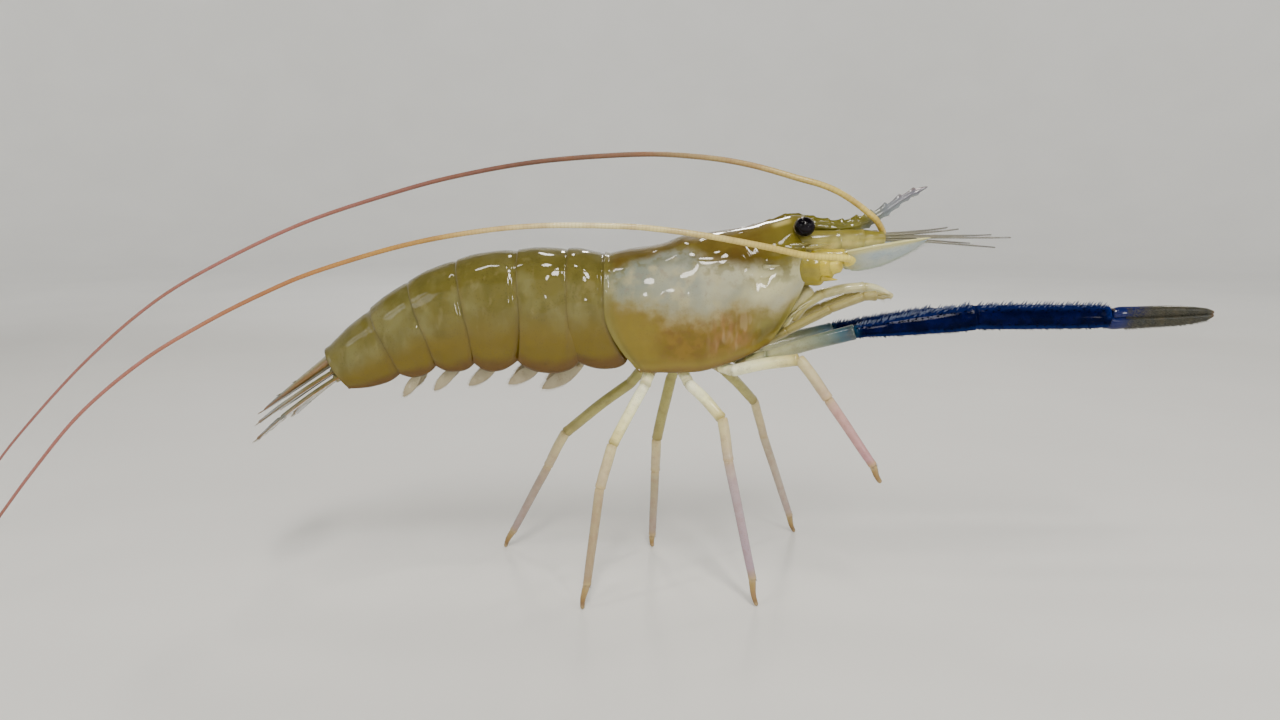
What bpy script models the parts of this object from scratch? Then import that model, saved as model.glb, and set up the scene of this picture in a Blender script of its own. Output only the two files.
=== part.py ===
"""Giant river prawn, a blue-clawed male, as a still life-size model.

The prawn faces +X and stands on z = 0.  Every size below is in millimetres in the body frame, whose
zero lies on the floor under the middle of the carapace; HOME moves that frame so that the middle of
the model's footprint is the world origin.  "Right" is the -Y side.
"""
import math

import bmesh
import bpy
from mathutils import Vector

MM = 0.001
HOME = Vector((39.75, -3.75, 0.0))    # body frame to world, mm
GAP = 0.3                             # clearance between neighbouring pieces
RIGHT, LEFT = -1, 1
SIDES = {"R": RIGHT, "L": LEFT}

# ---- driving sizes, mm -------------------------------------------------------------------------
CARAPACE_REAR = -11.6                 # x of the carapace's hind edge on the back
ROSTRUM_TIP = (94.6, 134.7)           # x, z
ROSTRUM_ROOT = 30.0                   # x where the crest rises from the back
DORSAL_TEETH, VENTRAL_TEETH = 12, 8
SHELL_EDGE = 1.5                      # thickness of the free lower margins
WIDEST_POWER = 0.87                   # fullness of the back's round section
BODY_AXIS = 96.0                      # height of the abdomen's axis behind the carapace
SEGMENT_ENDS = (0.0, 10.5, 26.0, 44.0, 59.0, 73.0, 93.0)     # along the abdomen's axis
SEAM_LEAN = (0.0, -3.5, 4.0, 2.5, 2.5, 2.0, 0.0)             # how far each seam runs back at its foot
TELSON_LENGTH, UROPOD_LENGTH = 32.0, 34.0
FAN_THICKNESS = 1.1
CORNEA = 3.2                          # radius of the eye's dark cornea
FOOT = 0.7                            # radius of the flat at a walking leg's tip

# Profiles along the carapace: x, then crest height, height of the widest level, half width, margin
CARAPACE_TABLE = (
    (-12.0, 112.6, 96.0, 15.4, 78.0), (0.0, 114.7, 96.2, 17.0, 75.0), (8.0, 116.1, 96.4, 17.4, 74.9),
    (14.0, 118.5, 96.7, 17.6, 75.0), (20.0, 119.4, 97.0, 17.6, 75.4), (33.0, 122.3, 99.4, 16.4, 79.4),
    (43.0, 125.2, 102.6, 14.0, 84.6), (50.0, 126.0, 106.6, 11.5, 90.0), (54.0, 126.0, 108.6, 10.2, 93.0),
)
CARAPACE_MARGIN_DEPTH = 3.0           # how far the margin hangs below the underside
# x of the front edge at each ring row: crest, orbit, cheek, then back along the lower margin
CARAPACE_FRONTS = (53.0, 50.4, 48.8, 50.6, 53.0, 52.4, 49.0, 43.0, 43.0, 49.0, 49.0)
# Profiles along the abdomen: distance, top, underside, pleuron margin (all from the axis), half width
ABDOMEN_TABLE = (
    (-14.0, 16.6, 15.5, 20.0, 16.2), (0.0, 16.6, 14.0, 20.0, 15.2), (10.5, 18.0, 13.0, 21.5, 15.0),
    (26.0, 18.2, 12.5, 21.5, 15.0), (44.0, 17.6, 12.0, 20.5, 14.0), (59.0, 15.5, 10.3, 17.0, 12.4),
    (73.0, 12.8, 8.4, 13.5, 10.6), (93.0, 8.4, 5.2, 8.2, 7.4),
)
ABDOMEN_PITCH = ((-20.0, 0.0), (8.0, 0.0), (26.0, 3.0), (44.0, 11.0), (59.0, 20.0), (73.0, 27.0),
                 (93.0, 31.0), (130.0, 30.0))                # distance, degrees below level

COLOURS = {                           # sRGB hex, roughness
    "carapace": ("A8A089", 0.25), "abdomen": ("837A49", 0.25), "eye": ("120810", 0.08),
    "stalk": ("9A8F4A", 0.35), "scale": ("A4AFA6", 0.3), "feeler": ("C08A55", 0.4),
    "pale leg": ("C2BE9C", 0.35), "lilac leg": ("A59A9C", 0.35), "claw": ("14234C", 0.45),
    "finger": ("3F4549", 0.8), "fan": ("7F7A55", 0.3), "swimmeret": ("B0A58A", 0.4),
}


# ---- small tools -------------------------------------------------------------------------------
def table_row(table, where):
    """Smooth values of a profile table at one distance (monotone ease between its rows)."""
    first, last = table[0], table[-1]
    if where <= first[0]:
        return first[1:]
    if where >= last[0]:
        return last[1:]
    index = max(i for i, row in enumerate(table) if row[0] <= where)
    rows = [table[max(index - 1, 0)], table[index], table[index + 1],
            table[min(index + 2, len(table) - 1)]]
    span = rows[2][0] - rows[1][0]
    t = (where - rows[1][0]) / span
    values = []
    for column in range(1, len(first)):
        slopes = []
        for before, after in ((rows[0], rows[2]), (rows[1], rows[3])):
            slopes.append((after[column] - before[column]) / (after[0] - before[0]) * span)
        start, end = rows[1][column], rows[2][column]
        values.append((2 * t**3 - 3 * t**2 + 1) * start + (t**3 - 2 * t**2 + t) * slopes[0]
                      + (3 * t**2 - 2 * t**3) * end + (t**3 - t**2) * slopes[1])
    return values


def clear_scene():
    for item in list(bpy.data.objects):
        bpy.data.objects.remove(item, do_unlink=True)


def collection(name):
    group = bpy.data.collections.new(name)
    bpy.context.scene.collection.children.link(group)
    return group


def material(name):
    found = bpy.data.materials.get(name)
    if found:
        return found
    hex_colour, roughness = COLOURS[name]
    made = bpy.data.materials.new(name)
    made.use_nodes = True
    shader = made.node_tree.nodes["Principled BSDF"]
    channels = [int(hex_colour[i:i + 2], 16) / 255 for i in (0, 2, 4)]
    shader.inputs["Base Color"].default_value = [c ** 2.2 for c in channels] + [1.0]
    shader.inputs["Roughness"].default_value = roughness
    return made


def place_object(name, mesh, finish, group):
    """Link a finished mesh as one named piece that hangs on the prawn's empty."""
    shaped = bmesh.new()
    shaped.from_mesh(mesh)
    bmesh.ops.recalc_face_normals(shaped, faces=shaped.faces)
    shaped.to_mesh(mesh)
    shaped.free()
    mesh.shade_smooth()
    mesh.materials.clear()
    mesh.materials.append(material(finish))
    piece = bpy.data.objects.new(name, mesh)
    group.objects.link(piece)
    piece.parent = bpy.data.objects["prawn_frame"]
    return piece


def tube_mesh(name, route, resolution=2):
    """A closed round tube through (x, y, z, radius) points, its caps welded on."""
    curve = bpy.data.curves.new(name, "CURVE")
    curve.dimensions = "3D"
    curve.bevel_depth = MM
    curve.bevel_resolution = resolution
    curve.use_fill_caps = True
    spline = curve.splines.new("POLY")
    spline.points.add(len(route) - 1)
    for point, (x, y, z, radius) in zip(spline.points, route):
        point.co = (*(Vector((x, y, z)) * MM), 1.0)
        point.radius = radius
    guide = bpy.data.objects.new(name + "_guide", curve)
    bpy.context.scene.collection.objects.link(guide)
    evaluated = guide.evaluated_get(bpy.context.evaluated_depsgraph_get())
    mesh = bpy.data.meshes.new_from_object(evaluated)
    bpy.data.objects.remove(guide, do_unlink=True)
    bpy.data.curves.remove(curve)
    welded = bmesh.new()
    welded.from_mesh(mesh)
    bmesh.ops.remove_doubles(welded, verts=welded.verts, dist=0.00001)
    welded.to_mesh(mesh)
    welded.free()
    mesh.name = name
    return mesh


def loft_mesh(name, rings, caps):
    """A closed skin over rings of equal length; caps lists the end faces as ring positions."""
    shape = bmesh.new()
    made = [[shape.verts.new(Vector(point) * MM) for point in ring] for ring in rings]
    count = len(rings[0])
    for near, far in zip(made, made[1:]):
        for i in range(count):
            j = (i + 1) % count
            shape.faces.new((near[i], near[j], far[j], far[i]))
    for end in (made[0], made[-1]):
        for cap in caps:
            shape.faces.new([end[i] for i in cap])
    mesh = bpy.data.meshes.new(name)
    shape.to_mesh(mesh)
    shape.free()
    return mesh


def oval_mesh(name, stations, count=8, roll=0.0):
    """A loft of ovals: each station is x, y, z, half width, half height; roll turns them, degrees."""
    centres = [Vector(station[:3]) for station in stations]
    rings = []
    for i, (centre, station) in enumerate(zip(centres, stations)):
        along = (centres[min(i + 1, len(centres) - 1)] - centres[max(i - 1, 0)]).normalized()
        across = Vector((0, 0, 1)).cross(along).normalized()
        upward = along.cross(across)
        lean = math.radians(roll)
        wide = across * math.cos(lean) + upward * math.sin(lean)
        high = upward * math.cos(lean) - across * math.sin(lean)
        ring = []
        for step in range(count):
            turn = 2 * math.pi * step / count
            ring.append(centre + wide * station[3] * math.cos(turn) + high * station[4] * math.sin(turn))
        rings.append(ring)
    return loft_mesh(name, rings, [range(count)])


def join_to(piece, meshes, cutters):
    """Union closed meshes into a piece; each stays behind as a hidden guide.

    The exact solver drops faces on these millimetre-sized overlaps, so the manifold one joins them.
    """
    for number, mesh in enumerate(meshes):
        guide = bpy.data.objects.new(f"{piece.name}_joined_{number}", mesh)
        cutters.objects.link(guide)
        guide.parent = piece.parent
        guide.hide_render = True
        guide.display_type = "WIRE"
        union = piece.modifiers.new(f"join {number}", "BOOLEAN")
        union.operation = "UNION"
        union.solver = "MANIFOLD"
        union.object = guide


def correct_normals(mesh):
    shaped = bmesh.new()
    shaped.from_mesh(mesh)
    bmesh.ops.recalc_face_normals(shaped, faces=shaped.faces)
    shaped.to_mesh(mesh)
    shaped.free()
    return mesh


# ---- body rings: a round back, two hanging margins and a flat underside ---------------------------
ROUND_ROWS = 4                        # rows of the round back per side
BODY_CAPS = ((0, 1, 19),) + tuple((k, k + 1, 19 - k, 20 - k) for k in range(1, 5)) + (
    (5, 6, 9), (5, 9, 10), (5, 10, 15), (15, 10, 11), (15, 11, 14), (6, 7, 8, 9), (14, 13, 12, 11))


def body_row(row, top, under, margin, half_width):
    """(y, height) of one ring row: 0 crest, 1-4 round back, 5-7 side, 8-9 inner margin, 10 middle."""
    foot = half_width * 0.80
    if row <= ROUND_ROWS:
        turn = math.radians(90.0 * row / ROUND_ROWS)
        return (half_width * abs(math.sin(turn)) ** WIDEST_POWER,
                top * abs(math.cos(turn)) ** WIDEST_POWER)
    drop = {5: under * 0.5, 6: under, 7: margin, 8: margin, 9: under, 10: under}[row]
    side = half_width - (half_width - foot) * (drop / margin) ** 1.7
    if row in (8, 9):
        side -= SHELL_EDGE
    return (0.0 if row == 10 else side), -drop


def body_ring(point_at):
    """Twenty points from rows 0-10: point_at(row) gives the right-hand point, mirrored for the left."""
    rows = [point_at(row) for row in range(11)]
    return rows + [(x, -y, z) for x, y, z in reversed(rows[1:10])]


def hind_edge(height):
    """x of the carapace's hind edge at a height: upright above, swept forward below."""
    fall = max(0.0, (BODY_AXIS - 1.0 - height) / 20.0)
    return CARAPACE_REAR + 11.6 * fall ** 1.7


def carapace_point(share, row):
    """A point of the carapace: share 0 is the hind edge, 1 the front edge."""
    x = 20.0                              # the profiles depend on x, so it is found in a few rounds
    for _ in range(6):
        crest, middle, half_width, margin = table_row(CARAPACE_TABLE, x)
        depth = middle - margin
        y, rise = body_row(row, crest - middle, depth - CARAPACE_MARGIN_DEPTH, depth, half_width)
        z = middle + rise
        rear = hind_edge(z) + GAP
        x = rear + (CARAPACE_FRONTS[row] - rear) * share
    return x, -y, z


def rostrum_outline():
    """Side view of the rostrum: crest teeth on top, the plain root below, teeth under the tip."""
    tip_x, tip_z = ROSTRUM_TIP
    top_line = ((ROSTRUM_ROOT, 120.8), (43.0, 125.5), (53.0, 126.2), (63.0, 125.2), (72.6, 125.9),
                (84.0, 129.4), (tip_x, tip_z))
    low_line = ((ROSTRUM_ROOT, 117.0), (50.0, 119.5), (62.0, 120.2), (72.6, 120.4), (84.0, 125.2),
                (tip_x, tip_z - 0.6))
    outline = []
    for tooth in range(DORSAL_TEETH):
        share = tooth / DORSAL_TEETH
        start = ROSTRUM_ROOT + 3 + (tip_x - ROSTRUM_ROOT - 7) * share
        pitch = (tip_x - ROSTRUM_ROOT - 7) / DORSAL_TEETH
        height = 1.7 - 0.7 * share
        for along, rise in ((0.0, 0.0), (0.72, height)):
            x = start + pitch * along
            outline.append((x, table_row(top_line, x)[0] + rise))
    outline.append((tip_x, tip_z))
    outline.append((tip_x - 0.3, tip_z - 0.8))
    for tooth in reversed(range(VENTRAL_TEETH)):
        pitch = (tip_x - 66.0) / VENTRAL_TEETH
        start = 63.0 + pitch * tooth
        for along, drop in ((0.72, 1.1), (0.0, 0.0)):
            x = start + pitch * along
            outline.append((x, table_row(low_line, x)[0] - drop))
    outline += [(x, table_row(low_line, x)[0]) for x in (58.0, 50.0, 40.0, ROSTRUM_ROOT)]
    return outline


def rostrum_mesh():
    """The outline as a blade, 2.8 mm thick at its root and 0.8 mm at its tip."""
    outline = rostrum_outline()
    shape = bmesh.new()
    walls = []
    for side in (RIGHT, LEFT):
        wall = []
        for x, z in outline:
            share = max(0.0, min(1.0, (x - 45.0) / (ROSTRUM_TIP[0] - 45.0)))
            wall.append(shape.verts.new(Vector((x, side * (1.4 - share), z)) * MM))
        shape.faces.new(wall)
        walls.append(wall)
    count = len(outline)
    for i in range(count):
        j = (i + 1) % count
        shape.faces.new((walls[0][i], walls[0][j], walls[1][j], walls[1][i]))
    bmesh.ops.triangulate(shape, faces=[face for face in shape.faces if len(face.verts) > 4])
    mesh = bpy.data.meshes.new("rostrum")
    shape.to_mesh(mesh)
    shape.free()
    return correct_normals(mesh)


def spine_mesh(name, base, tip, radius):
    return correct_normals(tube_mesh(name, [(*base, radius), (*tip, 0.3)], 1))


def make_carapace(group, cutters):
    shares = (0.0, 0.06, 0.14, 0.25, 0.38, 0.52, 0.66, 0.79, 0.9, 1.0)
    rings = [body_ring(lambda row, share=share: carapace_point(share, row)) for share in shares]
    piece = place_object("carapace", loft_mesh("carapace", rings, BODY_CAPS), "carapace", group)
    extras = [rostrum_mesh()]
    for side in SIDES.values():
        root, tip = (47.0, side * 9.2, 115.4), (55.4, side * 10.6, 116.4)
        extras.append(spine_mesh("antennal_spine", root, tip, 1.2))
    join_to(piece, extras, cutters)


def make_thorax(group):
    """The narrow underside between the leg bases."""
    stations = []
    for x in (1.0, 10.0, 20.0, 28.0, 34.0):
        margin = table_row(CARAPACE_TABLE, x)[-1]
        stations.append((x, 0.0, margin + 0.7, 4.6, 1.9))
    place_object("thorax", oval_mesh("thorax", stations, 6), "carapace", group)


# ---- head ---------------------------------------------------------------------------------------
def make_eye(tag, side, group):
    stalk = tube_mesh("stalk", [(53.0, side * 1.7, 121.4, 1.5), (53.1, side * 4.4, 121.8, 2.0),
                                (53.2, side * 6.9, 122.0, 2.5)])
    place_object(f"eyestalk_{tag}", stalk, "stalk", group)
    ball = bmesh.new()
    bmesh.ops.create_uvsphere(ball, u_segments=10, v_segments=7, radius=CORNEA * MM)
    for vert in ball.verts:
        vert.co = vert.co + Vector((53.2, side * 10.5, 122.1)) * MM
    mesh = bpy.data.meshes.new("cornea")
    ball.to_mesh(mesh)
    ball.free()
    place_object(f"cornea_{tag}", mesh, "eye", group)


def make_antennule(tag, side, group, cutters):
    peduncle = oval_mesh("antennule", [
        (54.2, side * 3.7, 115.0, 2.0, 2.6), (58.0, side * 3.8, 115.4, 2.2, 2.9),
        (64.0, side * 4.0, 116.2, 2.0, 2.5), (72.0, side * 4.1, 117.1, 1.8, 2.2),
        (79.0, side * 4.2, 118.0, 1.5, 1.7)])
    piece = place_object(f"antennule_{tag}", peduncle, "stalk", group)
    whips = ((0.8, 2.0, 26.0, 1.5), (0.0, 5.0, 42.0, 0.5), (-0.8, 8.0, 36.0, -2.5))
    joined = []
    for lift, spread, length, rise in whips:
        route = []
        for step in range(7):
            t = step / 6
            route.append((77.5 + length * t, side * (4.1 + spread * t * t), 118.0 + lift + rise * t * t * 2,
                          0.62 - 0.3 * t))
        joined.append(correct_normals(tube_mesh("whip", route, 1)))
    join_to(piece, joined, cutters)


ANTENNA_ENDS = {"R": ((62.4, -10.6, 109.2), (65.3, -11.6, 109.9)),      # last joint, turned outward
                "L": ((62.4, 9.6, 108.0), (65.3, 9.3, 107.4))}          # and turned inward


def make_antenna_base(tag, side, group):
    joint, end = ANTENNA_ENDS[tag]
    stations = [(53.7, side * 8.0, 107.6, 3.0, 3.4), (55.6, side * 8.3, 107.7, 4.2, 4.8),
                (59.0, side * 9.2, 108.2, 4.2, 4.9), (*joint, 3.0, 3.5), (*end, 2.2, 2.3)]
    place_object(f"antenna_base_{tag}", oval_mesh("base", stations), "stalk", group)


def make_scale(tag, side, group):
    """The leaf outside each antenna: a straight outer rib held high, the blade hanging inward."""
    stations = [(67.4, side * 10.3, 111.7, 2.9, 0.9), (69.6, side * 9.7, 111.2, 4.4, 0.8),
                (75.0, side * 9.3, 111.4, 5.5, 0.7), (81.0, side * 9.4, 112.8, 5.2, 0.6),
                (86.5, side * 10.0, 114.8, 3.9, 0.6), (90.0, side * 10.9, 116.4, 2.3, 0.5),
                (91.8, side * 12.0, 117.8, 0.8, 0.4)]
    mesh = oval_mesh("scale", stations, 6, roll=46.0 * side)
    place_object(f"antenna_scale_{tag}", mesh, "scale", group)


RIGHT_FEELER = ((65.9, -12.0, 110.1), (67.3, -13.6, 110.8), (67.2, -15.5, 111.6), (64.5, -17.0, 112.3),
                (60.0, -17.6, 112.6), (52, -18, 113.2), (39, -19, 116.0), (22, -20, 119.2), (8, -20, 121.2),
                (-6, -21, 122.4), (-31, -22, 122.6), (-52, -23, 120.6), (-74, -25, 116.4), (-99, -27, 109),
                (-115, -28, 102.5), (-133, -30, 93.5), (-153, -31, 81.6), (-172, -33, 66), (-188, -34, 48),
                (-203, -35, 29), (-216, -36, 12))
LEFT_FEELER = ((65.9, 9.2, 107.3), (67.0, 8.8, 107.1), (68.6, 6.9, 106.6), (70.4, 4.5, 106.7),
               (73, 2.5, 107.9), (76.4, 1.0, 110.6), (79.2, 0.2, 114.2), (80.2, -0.9, 118.6),
               (79.2, -2.3, 121.1), (77.0, -3.5, 124.0), (74.5, -4.0, 126.0), (70.6, -4.3, 129.0),
               (64.8, -4.3, 132.6),
               (58.9, -3.6, 135.1), (52.2, -2.4, 137.0), (36, 2, 141.6), (20, 6, 144.2), (0, 10, 145.2),
               (-32, 15, 143.2), (-59, 19, 139), (-84, 22, 133), (-122, 27, 121), (-159, 30, 104),
               (-183, 32, 89.6), (-209, 34, 68.5), (-235, 36, 43), (-250, 37, 26), (-261, 38, 12))
FEELER_ROOT, FEELER_TIP = 1.2, 0.42   # radii


def curve_through(points, steps):
    """Points of a smooth Catmull-Rom curve, spread over every span in proportion to its length."""
    points = [Vector(p) for p in points]
    ends = [points[0] * 2 - points[1]] + points + [points[-1] * 2 - points[-2]]
    total = sum((b - a).length for a, b in zip(points, points[1:]))
    smooth = []
    for i in range(len(points) - 1):
        a, b, c, d = ends[i:i + 4]
        parts = max(1, round(steps * (c - b).length / total))
        for part in range(parts):
            t = part / parts
            smooth.append(0.5 * ((2 * b) + (c - a) * t + (2 * a - 5 * b + 4 * c - d) * t * t
                                 + (3 * b - a - 3 * c + d) * t ** 3))
    smooth.append(points[-1])
    return smooth


def make_feeler(tag, route, group):
    """The long antennal whip, in two lengths."""
    path = curve_through(route, 44)
    run = [0.0]
    for a, b in zip(path, path[1:]):
        run.append(run[-1] + (b - a).length)
    whole = [(*p, FEELER_ROOT + (FEELER_TIP - FEELER_ROOT) * (s / run[-1]) ** 0.8)
             for p, s in zip(path, run)]
    half = next(i for i, s in enumerate(run) if s > run[-1] * 0.5)
    step = (path[half + 1] - path[half]).normalized() * GAP
    start = Vector(whole[half][:3]) + step
    far = [(*start, whole[half][3])] + whole[half + 1:]
    for name, part in (("root", whole[:half + 1]), ("tip", far)):
        place_object(f"feeler_{tag}_{name}", tube_mesh("feeler", part, 1), "feeler", group)


# ---- limbs --------------------------------------------------------------------------------------
def limb_routes(joints, corner=1.3, cuts=()):
    """Tube routes along joints of (x, y, z, radius): corners eased, parted with GAP at each cut."""
    routes, current = [], [joints[0]]
    for i in range(1, len(joints) - 1):
        here = Vector(joints[i][:3])
        back = (Vector(joints[i - 1][:3]) - here).normalized()
        ahead = (Vector(joints[i + 1][:3]) - here).normalized()
        enter, leave = here + back * corner, here + ahead * corner
        radius = joints[i][3]
        current.append((*enter, radius))
        if i in cuts:
            middle, chord = (enter + leave) / 2, (leave - enter).normalized() * GAP / 2
            current.append((*(middle - chord), radius * 0.96))
            routes.append(current)
            current = [(*(middle + chord), radius * 0.96)]
        current.append((*leave, radius))
    current.append(joints[-1])
    routes.append(current)
    return routes


# Walking legs: base, end of the ischium, knee, end of the carpus, end of the propodus, tip
LEG_RADII = (1.9, 1.7, 1.75, 1.6, 1.25, FOOT)
LEGS = {
    "leg3_R": ((24.5, -8.0, 76.6), (30.5, -13.0, 75.4), (50.2, -24.0, 81.0), (59.2, -27.0, 68.6),
               (73.6, -29.5, 47.6), (76.0, -29.5, 42.4)),
    "leg4_R": ((13.6, -8.2, 75.4), (16.0, -13.0, 71.0), (26.4, -22.0, 61.2), (28.4, -24.0, 47.6),
               (36.6, -26.5, 8.6), (38.0, -27.0, 0.0)),
    "leg5_R": ((3.6, -8.2, 75.2), (1.4, -13.0, 70.0), (-9.0, -20.5, 52.0), (-13.0, -24.0, 38.4),
               (-17.2, -28.5, 7.4), (-18.6, -29.5, 0.0)),
    "leg3_L": ((24.5, 8.0, 76.6), (30.0, 14.0, 70.2), (42.0, 25.5, 56.6), (46.4, 31.0, 42.2),
               (58.8, 41.5, 6.8), (61.0, 43.0, 0.0)),
    "leg4_L": ((13.6, 8.2, 75.4), (11.0, 12.6, 68.0), (6.0, 19.0, 43.8), (5.6, 21.5, 31.0),
               (4.6, 26.4, 4.4), (4.8, 26.8, 0.0)),
    "leg5_L": ((3.6, 8.2, 75.2), (-3.6, 12.6, 66.0), (-27.2, 18.5, 46.4), (-34.0, 21.0, 33.0),
               (-48.0, 25.6, 6.2), (-51.0, 26.4, 0.0)),
}
RAISED = ("leg3_R",)
TOE = 1.2                             # upright length above the flat of a standing foot


def make_leg(name, points, group):
    joints = [(*point, radius) for point, radius in zip(points, LEG_RADII)]
    upper, lower = limb_routes(joints, cuts=(2,))
    if name not in RAISED:
        x, y, z, radius = lower[-1]
        lower.insert(-1, (x, y, z + TOE, radius * 1.25))
    place_object(f"{name}_upper", tube_mesh(name, upper), "pale leg", group)
    place_object(f"{name}_lower", tube_mesh(name, lower), "lilac leg", group)


def make_mouth_limbs(tag, side, group):
    """Third maxilliped and the slender first leg with its small claw."""
    mouth = [(50.7, side * 4.8, 91.3, 1.4), (60.0, side * 5.2, 99.8, 1.6), (71.0, side * 5.6, 101.6, 1.5),
             (81.6, side * 5.4, 98.9, 0.6)]
    place_object(f"maxilliped_{tag}", tube_mesh("maxilliped", limb_routes(mouth)[0]), "pale leg", group)
    small = [(36.5, side * 6.2, 81.6, 1.5), (62.5, side * 8.8, 94.9, 1.35), (73.0, side * 9.6, 99.2, 1.4),
             (78.0, side * 9.4, 99.6, 1.2), (82.6, side * 9.0, 99.7, 0.5)]
    place_object(f"leg1_{tag}", tube_mesh("leg1", limb_routes(small)[0]), "pale leg", group)


# Great claws: base, end of the ischium, of the merus, of the carpus, of the palm, finger tips
CLAWS = {
    "R": ((31.5, -8.4, 76.8), (42.0, -12.4, 79.9), (68.6, -19.5, 89.2), (106.0, -21.0, 94.0),
          (147.0, -20.5, 94.1), (181.6, -19.5, 95.4)),
    "L": ((31.5, 8.4, 76.8), (42.0, 12.4, 78.9), (68.6, 19.5, 84.4), (106.0, 21.0, 88.0),
          (147.0, 20.5, 88.4), (181.6, 19.5, 89.8)),
}


def along(start, end, share, radius, lift=0.0):
    """A tube point part of the way from start to end, raised by lift."""
    return (*(start.lerp(end, share) + Vector((0, 0, lift))), radius)


def make_claw(tag, group):
    hip, ischium, elbow, wrist, knuckle, tip = (Vector(point) for point in CLAWS[tag])
    clear = 0.5                       # pull-back at the elbow, whose two tubes meet at an angle
    merus_end = 1.0 - clear / (elbow - ischium).length
    arm = [along(hip, ischium, 0.0, 1.8), along(hip, ischium, 0.85, 2.1), along(ischium, elbow, 0.1, 2.2),
           along(ischium, elbow, 0.55, 2.5), along(ischium, elbow, merus_end, 2.2)]
    carpus = [along(elbow, wrist, clear / (wrist - elbow).length, 2.2), along(elbow, wrist, 0.08, 2.8),
              along(elbow, wrist, 0.5, 3.1), along(elbow, wrist, 0.92, 3.8),
              along(elbow, wrist, 1.0 - GAP / (wrist - elbow).length, 3.2)]
    low, high = -1.55, 1.95           # the closed fingers lie one above the other
    palm = [along(wrist, knuckle, 0.01, 3.0), along(wrist, knuckle, 0.08, 3.7),
            along(wrist, knuckle, 0.5, 3.75), along(wrist, knuckle, 0.94, 3.7),
            along(knuckle, tip, 0.03, 3.3, low * 0.3),
            along(knuckle, tip, 0.05, 1.85, low), along(knuckle, tip, 0.5, 1.5, low),
            along(knuckle, tip, 0.9, 1.05, low * 0.9), along(knuckle, tip, 1.0, 0.45, low * 0.2)]
    finger = [along(knuckle, tip, 0.09, 1.55, high * 1.05), along(knuckle, tip, 0.2, 1.75, high),
              along(knuckle, tip, 0.55, 1.45, high), along(knuckle, tip, 0.9, 0.95, high * 0.8),
              along(knuckle, tip, 1.0, 0.4, high * 0.55)]
    pieces = (("merus", arm, "pale leg"), ("carpus", carpus, "claw"), ("palm", palm, "claw"),
              ("finger", finger, "finger"))
    for name, route, finish in pieces:
        place_object(f"claw_{tag}_{name}", tube_mesh(name, route), finish, group)


# ---- abdomen ------------------------------------------------------------------------------------
def axis_frame(distance):
    """Centre, backward direction and upward normal of the abdomen's axis at a distance."""
    step, s, x, z = 0.5, 0.0, CARAPACE_REAR, BODY_AXIS
    while s < distance:
        pitch = math.radians(table_row(ABDOMEN_PITCH, s)[0])
        part = min(step, distance - s)
        x -= part * math.cos(pitch)
        z -= part * math.sin(pitch)
        s += step
    if distance < 0.0:
        x -= distance
    pitch = math.radians(table_row(ABDOMEN_PITCH, distance)[0])
    return Vector((x, 0, z)), Vector((-math.cos(pitch), 0, -math.sin(pitch))), \
        Vector((-math.sin(pitch), 0, math.cos(pitch)))


def seam(index, row_depth):
    """Distance of one seam at a depth (0 at the axis, 1 at the pleuron's foot)."""
    return SEGMENT_ENDS[index] + SEAM_LEAN[index] * max(0.0, row_depth) ** 2


def abdomen_point(index, share, row):
    """A point of segment index (0-5) at share 0-1 from its front seam to its hind seam."""
    s = SEGMENT_ENDS[index]
    for _ in range(6):
        top, under, margin, half_width = table_row(ABDOMEN_TABLE, s)
        rounding = 1.0 - 0.15 * abs(2 * share - 1) ** 3 * (1.0 if row in (7, 8) else 0.0)
        foot = max(margin * rounding, under + 0.8)
        y, rise = body_row(row, top, under, foot, half_width)
        depth = -rise / margin
        front = seam(index, depth) + GAP / 2
        if index == 0:
            front = CARAPACE_REAR - hind_edge(BODY_AXIS + rise) + GAP
        back = seam(index + 1, depth) - GAP / 2
        s = front + (back - front) * share
    centre, _, normal = axis_frame(s)
    place = centre + normal * rise
    return place.x, -y, place.z


def make_abdomen(group):
    for index in range(6):
        rings = [body_ring(lambda row, share=share: abdomen_point(index, share, row))
                 for share in (0.0, 0.25, 0.5, 0.75, 1.0)]
        name = f"abdomen_{index + 1}"
        place_object(name, loft_mesh(name, rings, BODY_CAPS), "abdomen", group)


def fan_blade(name, start, length, half_width, height, droop, spread, group):
    """A flat oval blade that trails from the tail's end, fanned out by spread degrees."""
    centre, back, normal = axis_frame(SEGMENT_ENDS[-1])
    turn = math.radians(spread)
    heading = back * math.cos(turn) + Vector((0, 1, 0)) * math.sin(turn)
    root = centre + back * start[0] + Vector((0, start[1], 0)) + normal * height
    stations = []
    for share, width in ((0.0, 0.42), (0.25, 0.82), (0.55, 1.0), (0.8, 0.92), (0.94, 0.6), (1.0, 0.25)):
        place = root + heading * length * share - normal * droop * share * share
        stations.append((*place, half_width * width, FAN_THICKNESS / 2))
    place_object(name, oval_mesh(name, stations, 6), "fan", group)


def make_tail_fan(group):
    centre, back, normal = axis_frame(SEGMENT_ENDS[-1])
    stations = []
    sections = ((0.0, 5.6, 2.4), (0.3, 5.0, 2.2), (0.7, 3.2, 1.4), (0.93, 1.8, 0.8), (1.0, 0.5, 0.4))
    for share, half_width, half_height in sections:
        place = centre + back * (GAP + TELSON_LENGTH * share) + normal * (4.2 - 2.6 * share)
        stations.append((*place, half_width, half_height))
    place_object("telson", oval_mesh("telson", stations), "fan", group)
    for tag, side in SIDES.items():
        inner, outer = (1.2, side * 3.6), (1.2, side * 4.6)
        fan_blade(f"uropod_{tag}_inner", inner, UROPOD_LENGTH - 2, 4.6, 0.6, 1.5, side * 11, group)
        fan_blade(f"uropod_{tag}_outer", outer, UROPOD_LENGTH, 5.6, -1.8, 3.4, side * 25, group)


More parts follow.
